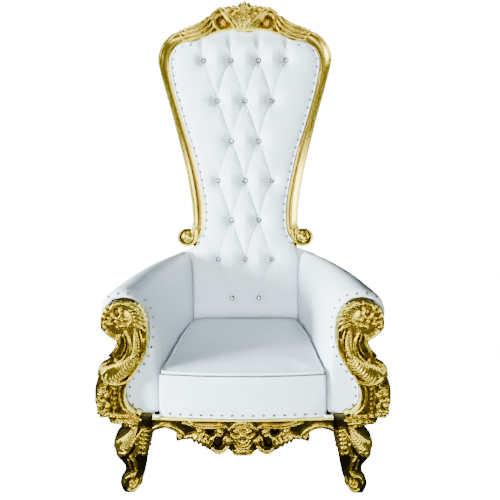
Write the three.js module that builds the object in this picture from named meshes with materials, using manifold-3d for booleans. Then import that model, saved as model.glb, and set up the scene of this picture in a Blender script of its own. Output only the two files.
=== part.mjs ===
// A high-backed ceremonial throne in the rococo manner: a gilt carved frame with a lyre-shaped back,
// scrolled arm fronts and cabriole legs, and white upholstery, buttoned in diamonds on the back.
// Millimetres. +X is the sitter's left, +Y runs back, +Z up; the origin is on the floor under the middle.
import * as THREE from "three";
import { mergeVertices } from "three/addons/utils/BufferGeometryUtils.js";
import Module from "manifold-3d";

const wasm = await Module();
wasm.setup();

// ---------- driving dimensions ----------
const DEPTH = 840; // foremost carving to the heels of the rear feet
const FRONT = -DEPTH / 2;
const REAR = DEPTH / 2;
const RAIL_TOP = 300; // the gilt rails end here and the upholstery starts
const RAIL_DEEP = 60;
const SEAT_TOP = 455;
const SEAT_CROWN = 14;
const SEAT_HALF_FRONT = 284;
const SEAT_HALF_BACK = 223;
const SEAT_FRONT_Y = -383;
const SEAT_BOW = 20; // the seat front and the apron swell forward by this much in the middle
const BACK_Y = 200; // where the back's face meets the seat
const BACK_Z = 460;
const RAKE = THREE.MathUtils.degToRad(7.4);
const ARM_FACE_Y = -371; // the arms' flat front, which the carved scrolls cover
const APRON_END = 304;
const GAP = 0.3;

// The buttoned back: columns and rows of the diamond pattern, from the lowest row up.
const BUTTON_PITCH = 57.5;
const BUTTON_ROW = 167;
const FIRST_ROW = 82;
const BUTTON_ROWS = [
  [-1, 1],
  [-2, 0, 2],
  [-1, 1],
  [-2, 0, 2],
  [-1, 1],
  [-2, 0, 2],
  [-3, -1, 1, 3],
];
const BUTTON_RADIUS = 10;

// ---------- materials ----------
const gilt = new THREE.MeshStandardMaterial({ color: 0xd9a53a, roughness: 0.28, metalness: 0.95 });
const leather = new THREE.MeshStandardMaterial({ color: 0xf1f2f5, roughness: 0.42, metalness: 0 });
const crystal = new THREE.MeshStandardMaterial({ color: 0xdfe8ee, roughness: 0.08, metalness: 0.1 });
const darkCloth = new THREE.MeshStandardMaterial({ color: 0x1c1a1a, roughness: 0.95, metalness: 0 });

// ---------- solids ----------
// A closed geometry as a manifold-3d solid, turned outwards if it was built inside out.
function solid(geometry) {
  const bare = new THREE.BufferGeometry();
  bare.setAttribute("position", geometry.getAttribute("position"));
  if (geometry.index) bare.setIndex(geometry.index);
  const merged = mergeVertices(bare, 1e-3);
  const corners = merged.index.array;
  const kept = [];
  for (let i = 0; i < corners.length; i += 3) {
    const [a, b, c] = corners.slice(i, i + 3);
    if (a !== b && b !== c && a !== c) kept.push(a, b, c);
  }
  const vertProperties = merged.attributes.position.array;
  const make = (faces) =>
    new wasm.Manifold(new wasm.Mesh({ numProp: 3, vertProperties, triVerts: new Uint32Array(faces) }));
  const made = make(kept);
  return made.volume() < 0 ? make(kept.reverse()) : made;
}

const union = (...solids) => solids.flat(2).reduce((a, b) => a.add(b));

function geometryOf(shape) {
  const mesh = shape.getMesh();
  const positions = new Float32Array(mesh.numVert * 3);
  for (let i = 0; i < mesh.numVert; i++) {
    positions.set(mesh.vertProperties.subarray(i * mesh.numProp, i * mesh.numProp + 3), i * 3);
  }
  const geometry = new THREE.BufferGeometry();
  geometry.setAttribute("position", new THREE.BufferAttribute(positions, 3));
  geometry.setIndex(new THREE.BufferAttribute(mesh.triVerts, 1));
  geometry.computeVertexNormals();
  return geometry;
}

// The flat triangles that close one ring of points, which may be hollow-sided.
function capOf(ring) {
  const normal = new THREE.Vector3();
  ring.forEach((p, i) => normal.add(new THREE.Vector3().crossVectors(p, ring[(i + 1) % ring.length])));
  const across = new THREE.Vector3().subVectors(ring[1], ring[0]).normalize();
  const up = new THREE.Vector3().crossVectors(normal.normalize(), across).normalize();
  const flat = ring.map((p) => new THREE.Vector2(p.dot(across), p.dot(up)));
  return THREE.ShapeUtils.triangulateShape(flat, []);
}

// A closed skin through rings that all have the same number of points, capped at both ends.
function loft(rings) {
  const n = rings[0].length;
  const index = [];
  for (let k = 0; k + 1 < rings.length; k++) {
    for (let i = 0; i < n; i++) {
      const a = k * n + i;
      const b = k * n + ((i + 1) % n);
      index.push(a, b, a + n, b, b + n, a + n);
    }
  }
  capOf(rings[0]).forEach(([a, b, c]) => index.push(a, c, b));
  const last = (rings.length - 1) * n;
  capOf(rings.at(-1)).forEach(([a, b, c]) => index.push(last + a, last + b, last + c));
  const geometry = new THREE.BufferGeometry().setFromPoints(rings.flat());
  geometry.setIndex(index);
  return solid(geometry);
}

const curveThrough = (points) =>
  new THREE.CatmullRomCurve3(points.map((p) => new THREE.Vector3(...p)), false, "centripetal");

// Carved pieces are laid out in a front view: across, up, and how far they stand out to the viewer.
const at = (across, up, out) => new THREE.Vector3(across, -out, up);
const mirrored = (shape) => shape.scale([-1, 1, 1]);
const both = (shape) => [shape, mirrored(shape)];

// A board between two edge curves, given as pairs of points, with a profile of [share across, out].
function band(pairs, profile, steps) {
  const low = curveThrough(pairs.map(([p]) => [p[0], p[1], 0]));
  const high = curveThrough(pairs.map(([, p]) => [p[0], p[1], 0]));
  const rings = [];
  for (let k = 0; k <= steps; k++) {
    const a = low.getPoint(k / steps);
    const b = high.getPoint(k / steps);
    rings.push(profile.map(([share, out]) => {
      const p = a.clone().lerp(b, share);
      return at(p.x, p.y, out);
    }));
  }
  return loft(rings);
}

// A ridged rod along points of [across, up, out], its sharp edge to the viewer, fattest where swell says.
function rod(points, startRadius, endRadius, { steps = 5, sides = 3, swell = 0, flat = 1 } = {}) {
  const curve = curveThrough(points.map(([x, z, out]) => [x, -out, z]));
  const rings = [];
  for (let k = 0; k <= steps; k++) {
    const t = k / steps;
    const along = curve.getTangent(t);
    const side = new THREE.Vector3(along.z, 0, -along.x).normalize();
    const rear = new THREE.Vector3().crossVectors(along, side).normalize();
    const radius = THREE.MathUtils.lerp(startRadius, endRadius, t) + swell * Math.sin(Math.PI * t);
    const ring = [];
    for (let i = 0; i < sides; i++) {
      const turn = (i / sides - 0.25) * 2 * Math.PI;
      ring.push(
        curve.getPoint(t)
          .addScaledVector(side, 1.15 * radius * Math.cos(turn))
          .addScaledVector(rear, 1.15 * radius * flat * Math.sin(turn)),
      );
    }
    rings.push(ring);
  }
  return loft(rings);
}

// Points of a flat spiral about a centre, from an outer radius inwards.
function spiral([x, z, out], outer, inner, from, turns, rise = 0, count = 10) {
  return Array.from({ length: count + 1 }, (_, i) => {
    const t = i / count;
    const radius = THREE.MathUtils.lerp(outer, inner, t);
    const angle = from + turns * 2 * Math.PI * t;
    return [x + radius * Math.cos(angle), z + radius * Math.sin(angle), out + rise * t];
  });
}

// A low-sided egg: a pearl, a petal or a lobe.
function lobe([x, z, out], across, up, thick, turn = 0) {
  const geometry = new THREE.IcosahedronGeometry(1, 0);
  geometry.scale(across, thick, up);
  geometry.rotateY(-turn);
  const p = at(x, z, out);
  geometry.translate(p.x, p.y, p.z);
  return solid(geometry);
}

// A pearl, cut with eight faces.
function pearl([x, z, out], radius) {
  const p = at(x, z, out);
  return solid(new THREE.OctahedronGeometry(radius, 0).translate(p.x, p.y, p.z));
}

// A pleated fan round a centre, like a shell or a palmette: each rib stands high between two valleys.
function shell([x, z, out], inner, outer, from, to, ribs, thick) {
  const rings = [];
  for (let k = 0; k <= 2 * ribs; k++) {
    const angle = THREE.MathUtils.lerp(from, to, k / (2 * ribs));
    const ridge = k % 2;
    const point = (radius, rise) => at(x + radius * Math.cos(angle), z + radius * Math.sin(angle), out + rise);
    const tip = outer * (ridge ? 1 : 0.87);
    const top = thick * (ridge ? 1 : 0.45);
    rings.push([
      point(inner, -thick), point(inner, 0.4 * top), point(0.35 * inner + 0.65 * tip, top),
      point(tip, 0.2 * top), point(tip, -thick),
    ]);
  }
  return loft(rings);
}

// A five-petalled flower, raised towards its heart.
function rosette([x, z, out], radius, thick) {
  const level = (share, rise) => Array.from({ length: 10 }, (_, i) => {
    const reach = radius * share * (i % 2 ? 0.55 : 1);
    const angle = Math.PI / 2 + (i / 10) * 2 * Math.PI;
    return at(x + reach * Math.cos(angle), z + reach * Math.sin(angle), out + rise);
  });
  return loft([level(1, -thick), level(1, 0), level(0.6, 0.7 * thick), level(0.35, thick)]);
}

// ---------- the back ----------
// In its own tilted frame: across, up the slope, and out from the plane of the frame.
const FRAME_BACK = -30;
const PAD_BACK = -22;
const OUTER_BACK_THICK = 16;
const CREST_LOW = [[0, 1205], [84, 1200], [147, 1180], [192, 1160], [222, 1153], [244, 1156]];
const CREST_HIGH = [[0, 1312], [62, 1290], [112, 1282], [166, 1250], [214, 1228], [260, 1206]];
const STILE_INNER = [
  [244.4, 1156], [280, 1141], [303, 1108], [313, 1063], [296, 963], [277, 894], [252, 807],
  [222, 712], [200, 623], [184, 545], [175, 485], [173, 430], [180, 368], [205, 326],
];
const STILE_OUTER = [
  [260.4, 1206], [306, 1188], [343, 1150], [361, 1100], [357, 1050], [331, 948], [303, 848],
  [276, 738], [252, 640], [236, 555], [227, 490], [223, 440], [223, 405], [236, 362],
];
const STILE_STEPS = 18;
const VOLUTE = [247, 345];
const VOLUTE_RADIUS = 37;

// Across the moulding from its inner edge: a bead, a broad hollow and an outer fillet.
const MOULDING = [
  [0, FRAME_BACK], [0, 14], [0.08, 22], [0.18, 18], [0.34, 9], [0.66, 10], [0.88, 20], [1, 10], [1, FRAME_BACK],
];

function volute() {
  const outline = [
    [0, FRAME_BACK], [1, FRAME_BACK], [1, 14], [0.86, 23], [0.72, 15], [0.5, 22], [0, 28],
  ];
  const turned = outline.map(([share, out]) => new THREE.Vector2(share * VOLUTE_RADIUS, out));
  const geometry = new THREE.LatheGeometry(turned, 12);
  geometry.rotateX(Math.PI); // the turning axis points to the viewer
  geometry.translate(VOLUTE[0], 0, VOLUTE[1]);
  return solid(geometry);
}

// The fanned leaf that clasps the shoulder, shared between the crest rail and the stile.
const shoulderFan = () => shell([226, 1184, 8], 6, 40, -1.05, 1.2, 5, 14);

function stile() {
  const pairs = STILE_INNER.map((p, i) => [p, STILE_OUTER[i]]);
  const clasp = union(shoulderFan()).intersect(beyondJoint(1));
  return union(band(pairs, MOULDING, STILE_STEPS), volute(), clasp);
}

// What lies beyond the slanting joint between the crest rail and a stile.
function beyondJoint(gap) {
  const [low, high] = [STILE_INNER[0], STILE_OUTER[0]];
  const lean = Math.atan2(high[0] - low[0], high[1] - low[1]);
  const size = 400;
  const block = new THREE.BoxGeometry(size, size, size).translate(size / 2 + gap, 0, 0);
  return solid(block.rotateY(lean).translate(low[0], 0, low[1]));
}

const CREST_PROFILE = [
  [0, FRAME_BACK], [0, 14], [0.12, 19], [0.24, 6], [0.85, 6], [0.93, 11], [1, 6], [1, FRAME_BACK],
];
const ROSE = [96, 1240];

function crestCarving() {
  const half = [
    // the long leafy scroll that runs down to the shoulder, in three ridges
    rod([[118, 1262, 8], [150, 1238, 12], [196, 1206, 12], [250, 1188, 8]], 7, 5, { swell: 4 }),
    rod([[132, 1222, 8], [166, 1200, 12], [206, 1182, 12], [248, 1170, 8]], 7, 5, { swell: 4 }),
    shoulderFan(),
    // the ring of scrolls round the rose
    rod(spiral([ROSE[0], ROSE[1], 6], 31, 31, 0.35, 0.6, 0, 6), 6, 5, { steps: 6 }),
    rosette([ROSE[0], ROSE[1], 2], 20, 9),
    // crossing scrolls that frame the centre
    rod([[106, 1284, 8], [80, 1264, 15], [56, 1238, 15], [30, 1212, 8]], 9, 6, { swell: 2 }),
    rod(spiral([52, 1286, 8], 17, 9, -0.6, 0.6, 6, 5), 7, 5),
    pearl([104, 1286, 6], 13),
    pearl([148, 1264, 5], 12),
  ];
  return [
    ...half.flat().flatMap((shape) => both(shape)),
    shell([0, 1262, 10], 14, 58, 0.35, Math.PI - 0.35, 5, 13),
    shell([0, 1242, 12], 12, 38, -0.5, -Math.PI + 0.5, 4, 12),
    lobe([0, 1246, 14], 17, 20, 17),
  ];
}

function crest() {
  const right = CREST_LOW.map((p, i) => [p, CREST_HIGH[i]]);
  const left = right.slice(1).map((pair) => pair.map(([u, v]) => [-u, v])).reverse();
  const board = band([...left, ...right], CREST_PROFILE, 18);
  const wells = both(solid(new THREE.CylinderGeometry(27, 22, 30, 8).translate(ROSE[0], -12, ROSE[1])));
  const hollowed = wells.reduce((a, b) => a.subtract(b), board);
  const carved = union(hollowed, crestCarving());
  return both(beyondJoint(0)).reduce((a, b) => a.subtract(b), carved);
}

// The pad fills the frame; its top follows the crest and its sides the stiles.
const PAD_BOTTOM = -158;
const PAD_GAP = 4;
const PAD_LOWER_HALF = 222;
const PAD_CORNER = STILE_INNER[1];
const traced = (points, steps) => curveThrough(points.map(([u, v]) => [u, v, 0])).getPoints(steps).map(({ x, y }) => [x, y]);
const PAD_TOP_EDGE = [...traced(CREST_LOW, 12), PAD_CORNER];
const PAD_SIDE_EDGE = [
  ...traced(STILE_INNER, STILE_STEPS).filter(([, v]) => v < PAD_CORNER[1]),
  [213, 300], [PAD_LOWER_HALF, 268], [PAD_LOWER_HALF, PAD_BOTTOM],
];

// Reads the other coordinate of a polyline at a given value of one of them.
function along(points, value, key, other) {
  const sorted = [...points].sort((a, b) => a[key] - b[key]);
  const next = sorted.findIndex((p) => p[key] >= value);
  if (next === -1) return sorted.at(-1)[other];
  if (next === 0) return sorted[0][other];
  const [a, b] = [sorted[next - 1], sorted[next]];
  return THREE.MathUtils.mapLinear(value, a[key], b[key], a[other], b[other]);
}

const buttons = BUTTON_ROWS.flatMap((row, r) =>
  row.map((column) => new THREE.Vector2(column * BUTTON_PITCH, FIRST_ROW + r * BUTTON_ROW)));

// Folds run between buttons that are diagonal neighbours.
const folds = buttons.flatMap((a, i) =>
  buttons.slice(i + 1)
    .filter((b) => Math.abs(Math.abs(b.x - a.x) - BUTTON_PITCH) < 1 && Math.abs(b.y - a.y) < BUTTON_ROW + 1)
    .map((b) => new THREE.Line3(new THREE.Vector3(a.x, a.y, 0), new THREE.Vector3(b.x, b.y, 0))));

const PAD_EDGE_OUT = 3;
const PAD_CROWN = 26;
const FOLD_DEEP = 7;
const DIMPLE_DEEP = 13;

function padOut(u, v, halfWidth) {
  const here = new THREE.Vector3(u, v, 0);
  const nearest = new THREE.Vector3();
  const toFold = Math.min(...folds.map((line) => {
    line.closestPointToPoint(here, true, nearest);
    return nearest.distanceTo(here);
  }));
  const toButton = Math.min(...buttons.map((b) => Math.hypot(b.x - u, b.y - v)));
  const sideways = 1 - (u / halfWidth) ** 4;
  const upwards = THREE.MathUtils.smoothstep(v, -20, 160) * THREE.MathUtils.smoothstep(1215 - v, 0, 90);
  const swell = PAD_CROWN * Math.sqrt(Math.max(0, sideways)) * upwards;
  const dip = FOLD_DEEP * Math.exp(-toFold / 16) + DIMPLE_DEEP * Math.exp(-((toButton / 24) ** 2));
  return PAD_EDGE_OUT + swell - dip * sideways * Math.min(1, 0.2 + upwards);
}

function backPad() {
  const columns = 12;
  const rows = 22;
  const topHalf = PAD_CORNER[0] - PAD_GAP;
  const front = [];
  for (let j = 0; j <= rows; j++) {
    const t = j / rows;
    const side = THREE.MathUtils.lerp(PAD_BOTTOM, PAD_CORNER[1] - 3 * PAD_GAP, t);
    const half = along(PAD_SIDE_EDGE, side, 1, 0) - PAD_GAP;
    front.push(Array.from({ length: columns + 1 }, (_, i) => {
      const s = (2 * i) / columns - 1;
      const top = along(PAD_TOP_EDGE, Math.abs(s) * topHalf, 0, 1) - PAD_CORNER[1];
      const v = side + top * t ** 5;
      return at(s * half, v, padOut(s * half, v, half));
    }));
  }
  const loop = [
    ...front[0],
    ...front.slice(1, -1).map((row) => row.at(-1)),
    ...[...front.at(-1)].reverse(),
    ...front.slice(1, -1).map((row) => row[0]).reverse(),
  ];
  return gridSolid(front, loop, (p) => at(p.x, p.z, PAD_BACK));
}

// A solid with a grid of points as its front and the grid's border carried back to a flat rear face.
function gridSolid(front, loop, toBack) {
  const points = [...front.flat(), ...loop, ...loop.map(toBack)];
  const wide = front[0].length;
  const edge = front.flat().length;
  const index = [];
  for (let j = 0; j + 1 < front.length; j++) {
    for (let i = 0; i + 1 < wide; i++) {
      const a = j * wide + i;
      index.push(a, a + 1, a + wide, a + 1, a + wide + 1, a + wide);
    }
  }
  loop.forEach((_, i) => {
    const a = edge + i;
    const b = edge + ((i + 1) % loop.length);
    index.push(b, a, b + loop.length, a, a + loop.length, b + loop.length);
  });
  capOf(loop.map(toBack)).forEach(([a, b, c]) =>
    index.push(edge + loop.length + a, edge + loop.length + c, edge + loop.length + b));
  const geometry = new THREE.BufferGeometry().setFromPoints(points);
  geometry.setIndex(index);
  return solid(geometry);
}

// A cut crystal on a leather-covered button, its back at a given distance out.
function crystalButton(u, v, out, clearance = 0) {
  const radius = BUTTON_RADIUS + clearance;
  const outline = clearance
    ? [[0, -clearance], [radius, -clearance], [radius, 40], [0, 40]]
    : [[0, 0], [radius, 0], [radius, 3], [radius * 0.6, 8], [0, 8]];
  const geometry = new THREE.LatheGeometry(outline.map(([x, y]) => new THREE.Vector2(x, y)), 5);
  geometry.rotateX(Math.PI);
  geometry.translate(u, -out, v);
  return solid(geometry);
}

const buttonOut = ({ x, y }) => padOut(x, y, along(PAD_SIDE_EDGE, y, 1, 0)) - 2;

function outerBack() {
  const inside = 12; // the frame hides its edge
  const top = [0, 84, 192].map((u) => [u, along(PAD_TOP_EDGE, u, 0, 1) - inside]);
  const side = [1130, 1108, 1063, 963, 894, 712, 545, 430, 368].map((v) => [along(PAD_SIDE_EDGE, v, 1, 0) - inside, v]);
  const foot = [[196, 310], [304, 270], [316, 240], [316, 150], [300, PAD_BOTTOM + 8]];
  const right = [...top.slice(1), ...side, ...foot];
  const outline = new THREE.Shape([...right, ...right.map(([u, v]) => [-u, v]).reverse(), top[0]]
    .map(([u, v]) => new THREE.Vector2(u, v)));
  const geometry = new THREE.ExtrudeGeometry(outline, { depth: OUTER_BACK_THICK, bevelEnabled: false });
  geometry.rotateX(Math.PI / 2); // the outline stands up and its thickness runs forwards
  geometry.translate(0, OUTER_BACK_THICK - PAD_BACK + GAP, 0);
  return solid(geometry);
}

// ---------- the arms ----------
// A section across the arm, front and back: from the seat's edge up over the roll and down outside.
const ARM_FRONT = [
  [285, 300.3], [284, 463], [285, 545], [294, 616], [310, 668], [338, 710], [378, 732], [422, 727],
  [455, 704], [472, 664], [466, 628], [430, 590], [403, 555], [416, 510], [450, 455], [466, 380], [462, 300.3],
];
const ARM_BACK = [
  [225, 300.3], [225, 463], [225, 560], [226, 640], [229, 700], [242, 731], [264, 738], [290, 727],
  [310, 706], [319, 676], [316, 638], [301, 604], [294, 572], [296, 520], [306, 455], [312, 380], [312, 300.3],
];
const ARM_TOP = 6; // the point on the crown of the roll
const ARM_STATIONS = 6;
const ARM_BELLY = 14; // the roll swells by this much halfway back
const ARM_END_Y = BACK_Y + 18;

function armPad() {
  const rings = [];
  const rounding = [[0, 9], [4, 3], [12, 0]]; // the front edge is rolled over by these steps
  const stations = [
    ...rounding.map(([y, inset]) => [ARM_FACE_Y + y, inset]),
    ...Array.from({ length: ARM_STATIONS }, (_, k) =>
      [THREE.MathUtils.lerp(ARM_FACE_Y + 12, ARM_END_Y, (k + 1) / ARM_STATIONS), 0]),
  ];
  for (const [y, inset] of stations) {
    const t = (y - ARM_FACE_Y) / (ARM_END_Y - ARM_FACE_Y);
    rings.push(ARM_FRONT.map(([x, z], i) => {
      const [bx, bz] = ARM_BACK[i];
      const belly = ARM_BELLY * Math.sin(Math.PI * t) * THREE.MathUtils.smoothstep(z, 480, 620);
      const px = THREE.MathUtils.lerp(x, bx, t) + (i > ARM_TOP ? belly : 0);
      const pz = THREE.MathUtils.lerp(z, bz, t) + (Math.abs(i - ARM_TOP) < 3 ? 0.5 * belly : 0);
      const hub = THREE.MathUtils.lerp(380, 275, t); // the middle of the arm at this station
      const upper = THREE.MathUtils.smoothstep(z, 560, 640);
      const shift = inset * upper;
      const dx = hub - px;
      const dz = 640 - pz;
      const length = Math.hypot(dx, dz);
      const lean = (pz - BACK_Z) * Math.tan(RAKE) * t; // the rear end leans with the back
      return new THREE.Vector3(px + (shift * dx) / length, y + lean, pz + (shift * dz) / length);
    }));
  }
  return loft(rings);
}

// The carved front of an arm: pairs of inner and outer edge points, from the head down to the rail.
const ARM_SCROLL = [
  [[322, 676], [372, 636]], [[308, 640], [384, 606]], [[304, 600], [404, 585]], [[306, 560], [410, 562]],
  [[313, 524], [420, 534]], [[328, 494], [440, 508]], [[348, 464], [462, 484]], [[368, 436], [479, 452]],
  [[380, 412], [484, 422]], [[386, 386], [490, 392]], [[384, 356], [492, 362]], [[373, 330], [489, 332]],
  [[352, 300.4], [480, 300.4]],
];
const ARM_HEAD = [383, 634];
const ARM_HEAD_RADIUS = 76;
const ARM_BOARD_BACK = -(ARM_FACE_Y - 0.6); // how far out the scroll's flat back stands
const ARM_BOARD_FRONT = 398;

function armScroll() {
  const [hx, hz] = ARM_HEAD;
  const front = ARM_BOARD_FRONT;
  const profile = [
    [0, ARM_BOARD_BACK], [0, front - 14], [0.1, front - 2], [0.5, front + 4], [0.9, front - 2],
    [1, front - 14], [1, ARM_BOARD_BACK],
  ];
  const head = new THREE.LatheGeometry(
    [[0, ARM_BOARD_BACK], [1, ARM_BOARD_BACK], [1, front - 16], [0.9, front - 3], [0, front + 6]]
      .map(([share, out]) => new THREE.Vector2(share * ARM_HEAD_RADIUS, out)),
    16,
  );
  head.rotateX(Math.PI);
  head.translate(hx, 0, hz);
  const pearls = Array.from({ length: 6 }, (_, i) => {
    const angle = THREE.MathUtils.lerp(-2.2, 0.9, i / 5);
    return pearl([hx + 54 * Math.cos(angle), hz + 54 * Math.sin(angle), front + 3], 13);
  });
  const scales = Array.from({ length: 3 }, (_, i) => lobe([344 + i * 4, 578 - i * 26, front + 5], 16, 14, 11, 0.1));
  const cuff = Array.from({ length: 3 }, (_, i) => {
    const t = i / 2;
    return lobe([362 + 52 * t, 498 - 50 * t, front + 3], 34 + 14 * t, 13 + 4 * t, 14 + 3 * t, -0.3 - 0.25 * t);
  });
  const foliage = [0, 1].map((i) => lobe([462 + 5 * i, 390 - i * 42, front + 4], 20, 13, 12, i ? 0.7 : -0.7));
  return union(
    band(ARM_SCROLL, profile, 14),
    solid(head),
    rod(spiral([hx, hz, front + 4], 34, 8, 2.6, -1.0, 6, 8), 9, 5, { steps: 8 }),
    // the gadroons that wrap the inner and upper rim
    shell([hx, hz, front - 2], 46, 77, 1.35, 3.75, 6, 10),
    pearls,
    scales,
    cuff,
    // the long rib beside the scales, and the collar under the cuff
    rod([[392, 590, front], [386, 556, front + 4], [398, 524, front + 3], [424, 494, front]], 9, 7),
    rod([[372, 432, front], [410, 422, front + 8], [452, 428, front + 6], [478, 446, front - 6]], 7, 7, { steps: 4 }),
    // the lower panel: a C moulding inside, a row of pearls and a leafy outer stile
    rod([[392, 418, front], [400, 386, front + 6], [396, 350, front + 6], [366, 316, front]], 9, 7, { steps: 4, swell: 2 }),
    foliage,
  );
}

// ---------- the seat and its rails ----------
const bow = (x) => SEAT_BOW * (1 - (x / SEAT_HALF_FRONT) ** 2);
const backFaceY = (z) => BACK_Y + (z - BACK_Z) * Math.tan(RAKE);

function seatPad() {
  const side = 7;
  const across = 10;
  // One closed outline at a height, drawn in from the full size by an inset.
  const outline = (z, inset) => {
    const rear = backFaceY(z) - PAD_EDGE_OUT - 4 - inset;
    const front = SEAT_FRONT_Y + inset;
    const halfAt = (y) => THREE.MathUtils.mapLinear(y, SEAT_FRONT_Y, BACK_Y, SEAT_HALF_FRONT, SEAT_HALF_BACK) - inset;
    const points = [];
    for (let i = 0; i <= across; i++) {
      const x = THREE.MathUtils.lerp(-halfAt(front), halfAt(front), i / across);
      points.push(new THREE.Vector3(x, front - bow(x), z));
    }
    for (let i = 1; i <= side; i++) {
      const y = THREE.MathUtils.lerp(front, rear, i / side);
      points.push(new THREE.Vector3(halfAt(y), y, z));
    }
    for (let i = side; i >= 1; i--) {
      const y = THREE.MathUtils.lerp(front, rear, i / side);
      points.push(new THREE.Vector3(-halfAt(y), y, z));
    }
    return points;
  };
  return loft([
    outline(RAIL_TOP + GAP, 1),
    outline(SEAT_TOP - 6, 1),
    outline(SEAT_TOP, 4),
    outline(SEAT_TOP + 0.55 * SEAT_CROWN, 60),
    outline(SEAT_TOP + 0.9 * SEAT_CROWN, 130),
    outline(SEAT_TOP + SEAT_CROWN, 190),
  ]);
}

// The apron's lower edge, from the middle out: a pendant, a C scroll, a step and the plain arch.
const APRON_LOW = [
  [0, 168], [34, 168], [54, 188], [82, 170], [112, 182], [150, 208], [176, 221], [206, 215],
  [224, 240], [252, 256], [282, 254], [APRON_END, 243],
];
const APRON_BACK = -(ARM_FACE_Y - 0.6);
const APRON_FRONT = 388;
const apronBow = (x) => 12 * (1 - (x / APRON_END) ** 2);

function apronBoard() {
  const rings = [];
  const steps = 26;
  for (let k = 0; k <= steps; k++) {
    const x = THREE.MathUtils.lerp(-APRON_END, APRON_END, k / steps);
    const low = along(APRON_LOW, Math.abs(x), 0, 1);
    const front = APRON_FRONT + apronBow(x);
    rings.push([
      at(x, RAIL_TOP, APRON_BACK), at(x, RAIL_TOP, front + 5), at(x, RAIL_TOP - 9, front + 5),
      at(x, RAIL_TOP - 14, front), at(x, low + 8, front), at(x, low, front - 4), at(x, low, APRON_BACK),
    ]);
  }
  return loft(rings);
}

function apron() {
  const front = (x) => APRON_FRONT + apronBow(x);
  const half = [
    // the bead that arches over the cartouche and dips to the C scrolls beside it
    rod([[0, 291, front(0) + 6], [30, 282, front(30) + 6], [50, 262, front(50) + 2]], 6, 5, { steps: 6 }),
    rod([[50, 262, front(50) + 2], [66, 284, front(66) + 4], [104, 286, front(104) + 4]], 5, 5, { steps: 6 }),
    rod(spiral([92, 216, front(92)], 38, 32, -0.2, -0.42, 0, 8), 7, 6, { steps: 6 }),
    rosette([106, 232, front(106)], 16, 8),
    rod([[120, 262, front(120)], [150, 250, front(150) + 6], [176, 236, front(176) + 4]], 10, 6, { swell: 4 }),
    // the plain arch between the carving and the leg
    rod([[204, 222, front(204) - 2], [226, 256, front(226)], [258, 270, front(258)], [298, 266, front(298)]], 7, 6),
  ];
  const wells = [[92, 256, 16, 11], [80, 212, 14, 16]].flatMap(([x, z, wide, tall]) =>
    both(solid(new THREE.CylinderGeometry(1, 0.8, 34, 8).scale(wide, 1, tall).translate(x, -front(x), z))));
  return union(
    wells.reduce((a, b) => a.subtract(b), apronBoard()),
    half.flat().flatMap((shape) => both(shape)),
    shell([0, 250, front(0)], 8, 40, 0.3, Math.PI - 0.3, 4, 11),
    shell([0, 236, front(0)], 6, 40, -0.4, -Math.PI + 0.4, 4, 12),
    lobe([0, 240, front(0) + 6], 17, 13, 14),
    shell([0, 196, front(0) - 2], 4, 26, -0.35, -Math.PI + 0.35, 3, 9),
  );
}

const RAIL_FRONT_X = 462;
const RAIL_REAR_X = 312;
const RAIL_THICK = 32;
const RAIL_START_Y = -326;
const RAIL_END_Y = 190;

// Side rails run back from the front legs, with a rounded lower edge.
function sideRail() {
  const section = [[0, 0], [0, -12], [-4, -16], [0, -22], [2, -44], [-6, -RAIL_DEEP + 2], [-16, -RAIL_DEEP],
    [-RAIL_THICK, -RAIL_DEEP], [-RAIL_THICK, 0]];
  const end = (x, y) => section.map(([across, up]) => new THREE.Vector3(x + across, y, RAIL_TOP + up));
  return loft([end(RAIL_FRONT_X, RAIL_START_Y), end(RAIL_REAR_X + 2, RAIL_END_Y)]);
}

function boxSolid(wide, deep, tall, x, y, z) {
  return solid(new THREE.BoxGeometry(wide, deep, tall).translate(x, y, z));
}

const BACK_RAIL_Y = 222;

function backRail() {
  return boxSolid(2 * 254, 40, RAIL_DEEP, 0, BACK_RAIL_Y, RAIL_TOP - RAIL_DEEP / 2);
}

// The webbed deck and its dust cover, inside the rails.
function seatDeck() {
  const thick = 22;
  const front = ARM_FACE_Y + 1;
  const rear = BACK_RAIL_Y - 21;
  const inner = (y) => THREE.MathUtils.mapLinear(y, RAIL_START_Y, RAIL_END_Y, RAIL_FRONT_X, RAIL_REAR_X) - RAIL_THICK - 1;
  const corners = [[300, front], [300, RAIL_START_Y + 4], [inner(RAIL_START_Y + 4) - 30, RAIL_START_Y + 4],
    [inner(180) - 20, 180], [252, rear]];
  const outline = new THREE.Shape([...corners, ...corners.map(([x, y]) => [-x, y]).reverse()]
    .map(([x, y]) => new THREE.Vector2(x, y)));
  const geometry = new THREE.ExtrudeGeometry(outline, { depth: thick, bevelEnabled: false });
  geometry.translate(0, 0, RAIL_TOP - thick);
  return solid(geometry);
}

// ---------- the legs ----------
// Sections down a front leg: height, middle across, middle front to back, half widths both ways.
const FRONT_LEG = [
  [299.7, 384, -372, 76, 42], [284, 384, -372, 76, 42], [265, 378, -371, 71, 40], [253, 361, -370, 55, 40],
  [234, 363, -370, 53, 42], [204, 377, -370, 63, 46], [165, 385, -368, 57, 44], [140, 386, -364, 50, 38], [112, 382, -362, 39, 32],
  [90, 383, -364, 34, 29], [62, 393, -362, 35, 30], [36, 401, -362, 33, 34], [14, 399, -358, 30, 30],
  [0, 396, -356, 24, 25],
];
const LEG_SIDES = 10;

function ringAt([z, x, y, halfX, halfY], sides, square) {
  return Array.from({ length: sides }, (_, i) => {
    const turn = ((i + 0.5) / sides) * 2 * Math.PI;
    const c = Math.cos(turn);
    const s = Math.sin(turn);
    const power = (value) => Math.sign(value) * Math.abs(value) ** square;
    return new THREE.Vector3(x + halfX * power(c), y + halfY * power(s), z);
  });
}

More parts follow.
